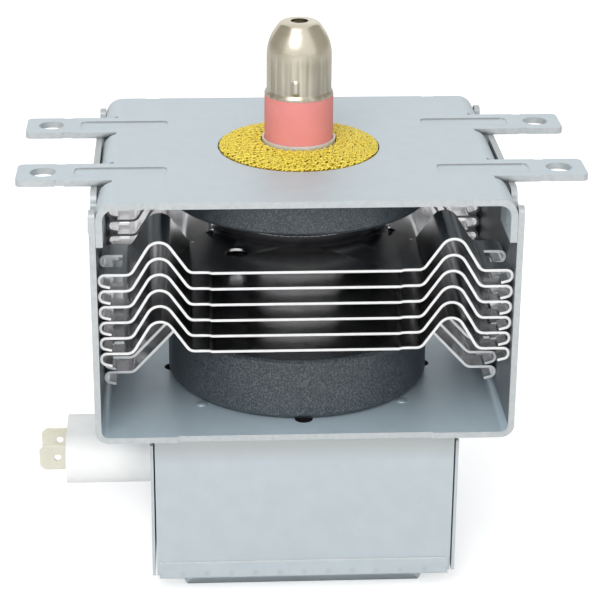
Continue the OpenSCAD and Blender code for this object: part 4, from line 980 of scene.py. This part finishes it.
class MAGNETRON_OT_stage(Operator):
    """Sets up the floor, the soft lights, the world and the camera."""

    bl_idname = "magnetron.stage"
    bl_label = "Set the stage"

    def execute(self, context):
        scene = context.scene
        scene.view_settings.view_transform = "Standard"
        self.floor()
        self.world(scene)
        self.lamp("front_light", (-0.1, -1.1, 0.2), 0.9, 6.8)
        self.lamp("key_light", (-0.3, -0.75, 0.7), 0.6, 3.6, mirrored=True)
        self.lamp("rear_light", (-0.1, 0.9, 0.45), 0.8, 1.9)
        self.card("left_card", -0.8)
        self.card("right_card", 0.8)
        self.camera(scene)
        return {"FINISHED"}

    def floor(self):
        """White floor that shines a little where the camera sees it."""
        r = STAGE_REACH
        material, tree, shader = new_material("studio_floor", 0.0, 0.8)
        shader.inputs["Base Color"].default_value = (0.93, 0.93, 0.93, 1.0)
        shader.inputs["Emission Color"].default_value = WHITE
        path = tree.nodes.new("ShaderNodeLightPath")
        seen = span(tree, path.outputs["Is Camera Ray"], 0.0, 0.4)
        tree.links.new(seen, shader.inputs["Emission Strength"])
        corners = [(x, y, FLOOR_Z) for x, y in ((-r, -r), (r, -r), (r, r), (-r, r))]
        self.sheet("studio_floor", corners, material)

    def sheet(self, name, corners, material):
        """One flat face of the stage."""
        mesh = bpy.data.meshes.new(name)
        mesh.from_pydata(corners, [], [(0, 1, 2, 3)])
        mesh.materials.append(material)
        sheet = bpy.data.objects.new(name, mesh)
        bpy.context.scene.collection.objects.link(sheet)
        return sheet

    def card(self, name, x):
        """Grey card at one side that only mirrors see, which gives round metal its dark flanks."""
        front, rear, height = -0.5, 0.9, 1.3
        material, tree, shader = new_material(name, 0.0, 0.9)
        shader.inputs["Base Color"].default_value = (0.5, 0.48, 0.44, 1.0)
        corners = [(x, front, 0.0), (x, rear, 0.0), (x, rear, height), (x, front, height)]
        card = self.sheet(name, corners, material)
        card.visible_camera = False
        card.visible_diffuse = False
        card.visible_shadow = False

    def world(self, scene):
        """White where it is seen or mirrored, and a plain soft light elsewhere."""
        world = bpy.data.worlds.new("studio")
        world.use_nodes = True
        tree = world.node_tree
        background = tree.nodes["Background"]
        background.inputs["Color"].default_value = WHITE
        path = tree.nodes.new("ShaderNodeLightPath")
        seen = math_node(tree, "MAXIMUM", path.outputs["Is Camera Ray"], path.outputs["Is Glossy Ray"])
        seen = math_node(tree, "MAXIMUM", seen, path.outputs["Is Transmission Ray"])
        tree.links.new(span(tree, seen, 0.55, 1.0), background.inputs["Strength"])
        scene.world = world

    def lamp(self, name, place, size, power, mirrored=False):
        """Soft square lamp aimed at the part; only a mirrored one shows in metal."""
        data = bpy.data.lights.new(name, "AREA")
        data.size = size
        data.energy = power
        lamp = bpy.data.objects.new(name, data)
        lamp.location = place
        lamp.visible_glossy = mirrored
        aim = LAMP_AIM - Vector(place)
        lamp.rotation_euler = aim.to_track_quat("-Z", "Y").to_euler()
        bpy.context.scene.collection.objects.link(lamp)

    def camera(self, scene):
        data = bpy.data.cameras.new("view")
        data.sensor_width = 36.0
        data.lens = CAMERA_LENS
        data.clip_start = 0.01
        camera = bpy.data.objects.new("view", data)
        turn = (CAMERA_AIM - CAMERA_PLACE).to_track_quat("-Z", "Y").to_matrix().to_4x4()
        camera.matrix_world = Matrix.Translation(CAMERA_PLACE) @ turn @ Matrix.Rotation(CAMERA_ROLL, 4, "Z")
        scene.collection.objects.link(camera)
        scene.camera = camera


class MAGNETRON_PT_panel(Panel):
    """Lists the steps that dress the magnetron."""

    bl_label = "Magnetron"
    bl_idname = "MAGNETRON_PT_panel"
    bl_space_type = "VIEW_3D"
    bl_region_type = "UI"
    bl_category = "Magnetron"

    def draw(self, context):
        for step in STEPS:
            self.layout.operator(step.bl_idname)
        for group in (sizes(), finishes()):
            for name in group.__annotations__:
                self.layout.prop(group, name)


STEPS = (MAGNETRON_OT_finishes, MAGNETRON_OT_yokes, MAGNETRON_OT_magnets, MAGNETRON_OT_fins,
         MAGNETRON_OT_antenna, MAGNETRON_OT_gasket, MAGNETRON_OT_filter_box, MAGNETRON_OT_capacitor,
         MAGNETRON_OT_inner_pieces, MAGNETRON_OT_stage)
CLASSES = (MagnetronSizes, MagnetronFinishes, *STEPS, MAGNETRON_PT_panel)


def register():
    for cls in CLASSES:
        bpy.utils.register_class(cls)
    bpy.types.Scene.magnetron_sizes = PointerProperty(type=MagnetronSizes)
    bpy.types.Scene.magnetron_finishes = PointerProperty(type=MagnetronFinishes)


def unregister():
    del bpy.types.Scene.magnetron_finishes
    del bpy.types.Scene.magnetron_sizes
    for cls in reversed(CLASSES):
        bpy.utils.unregister_class(cls)


def main():
    register()
    for step in STEPS:
        group, name = step.bl_idname.split(".")
        getattr(getattr(bpy.ops, group), name)()


if __name__ == "__main__":
    main()
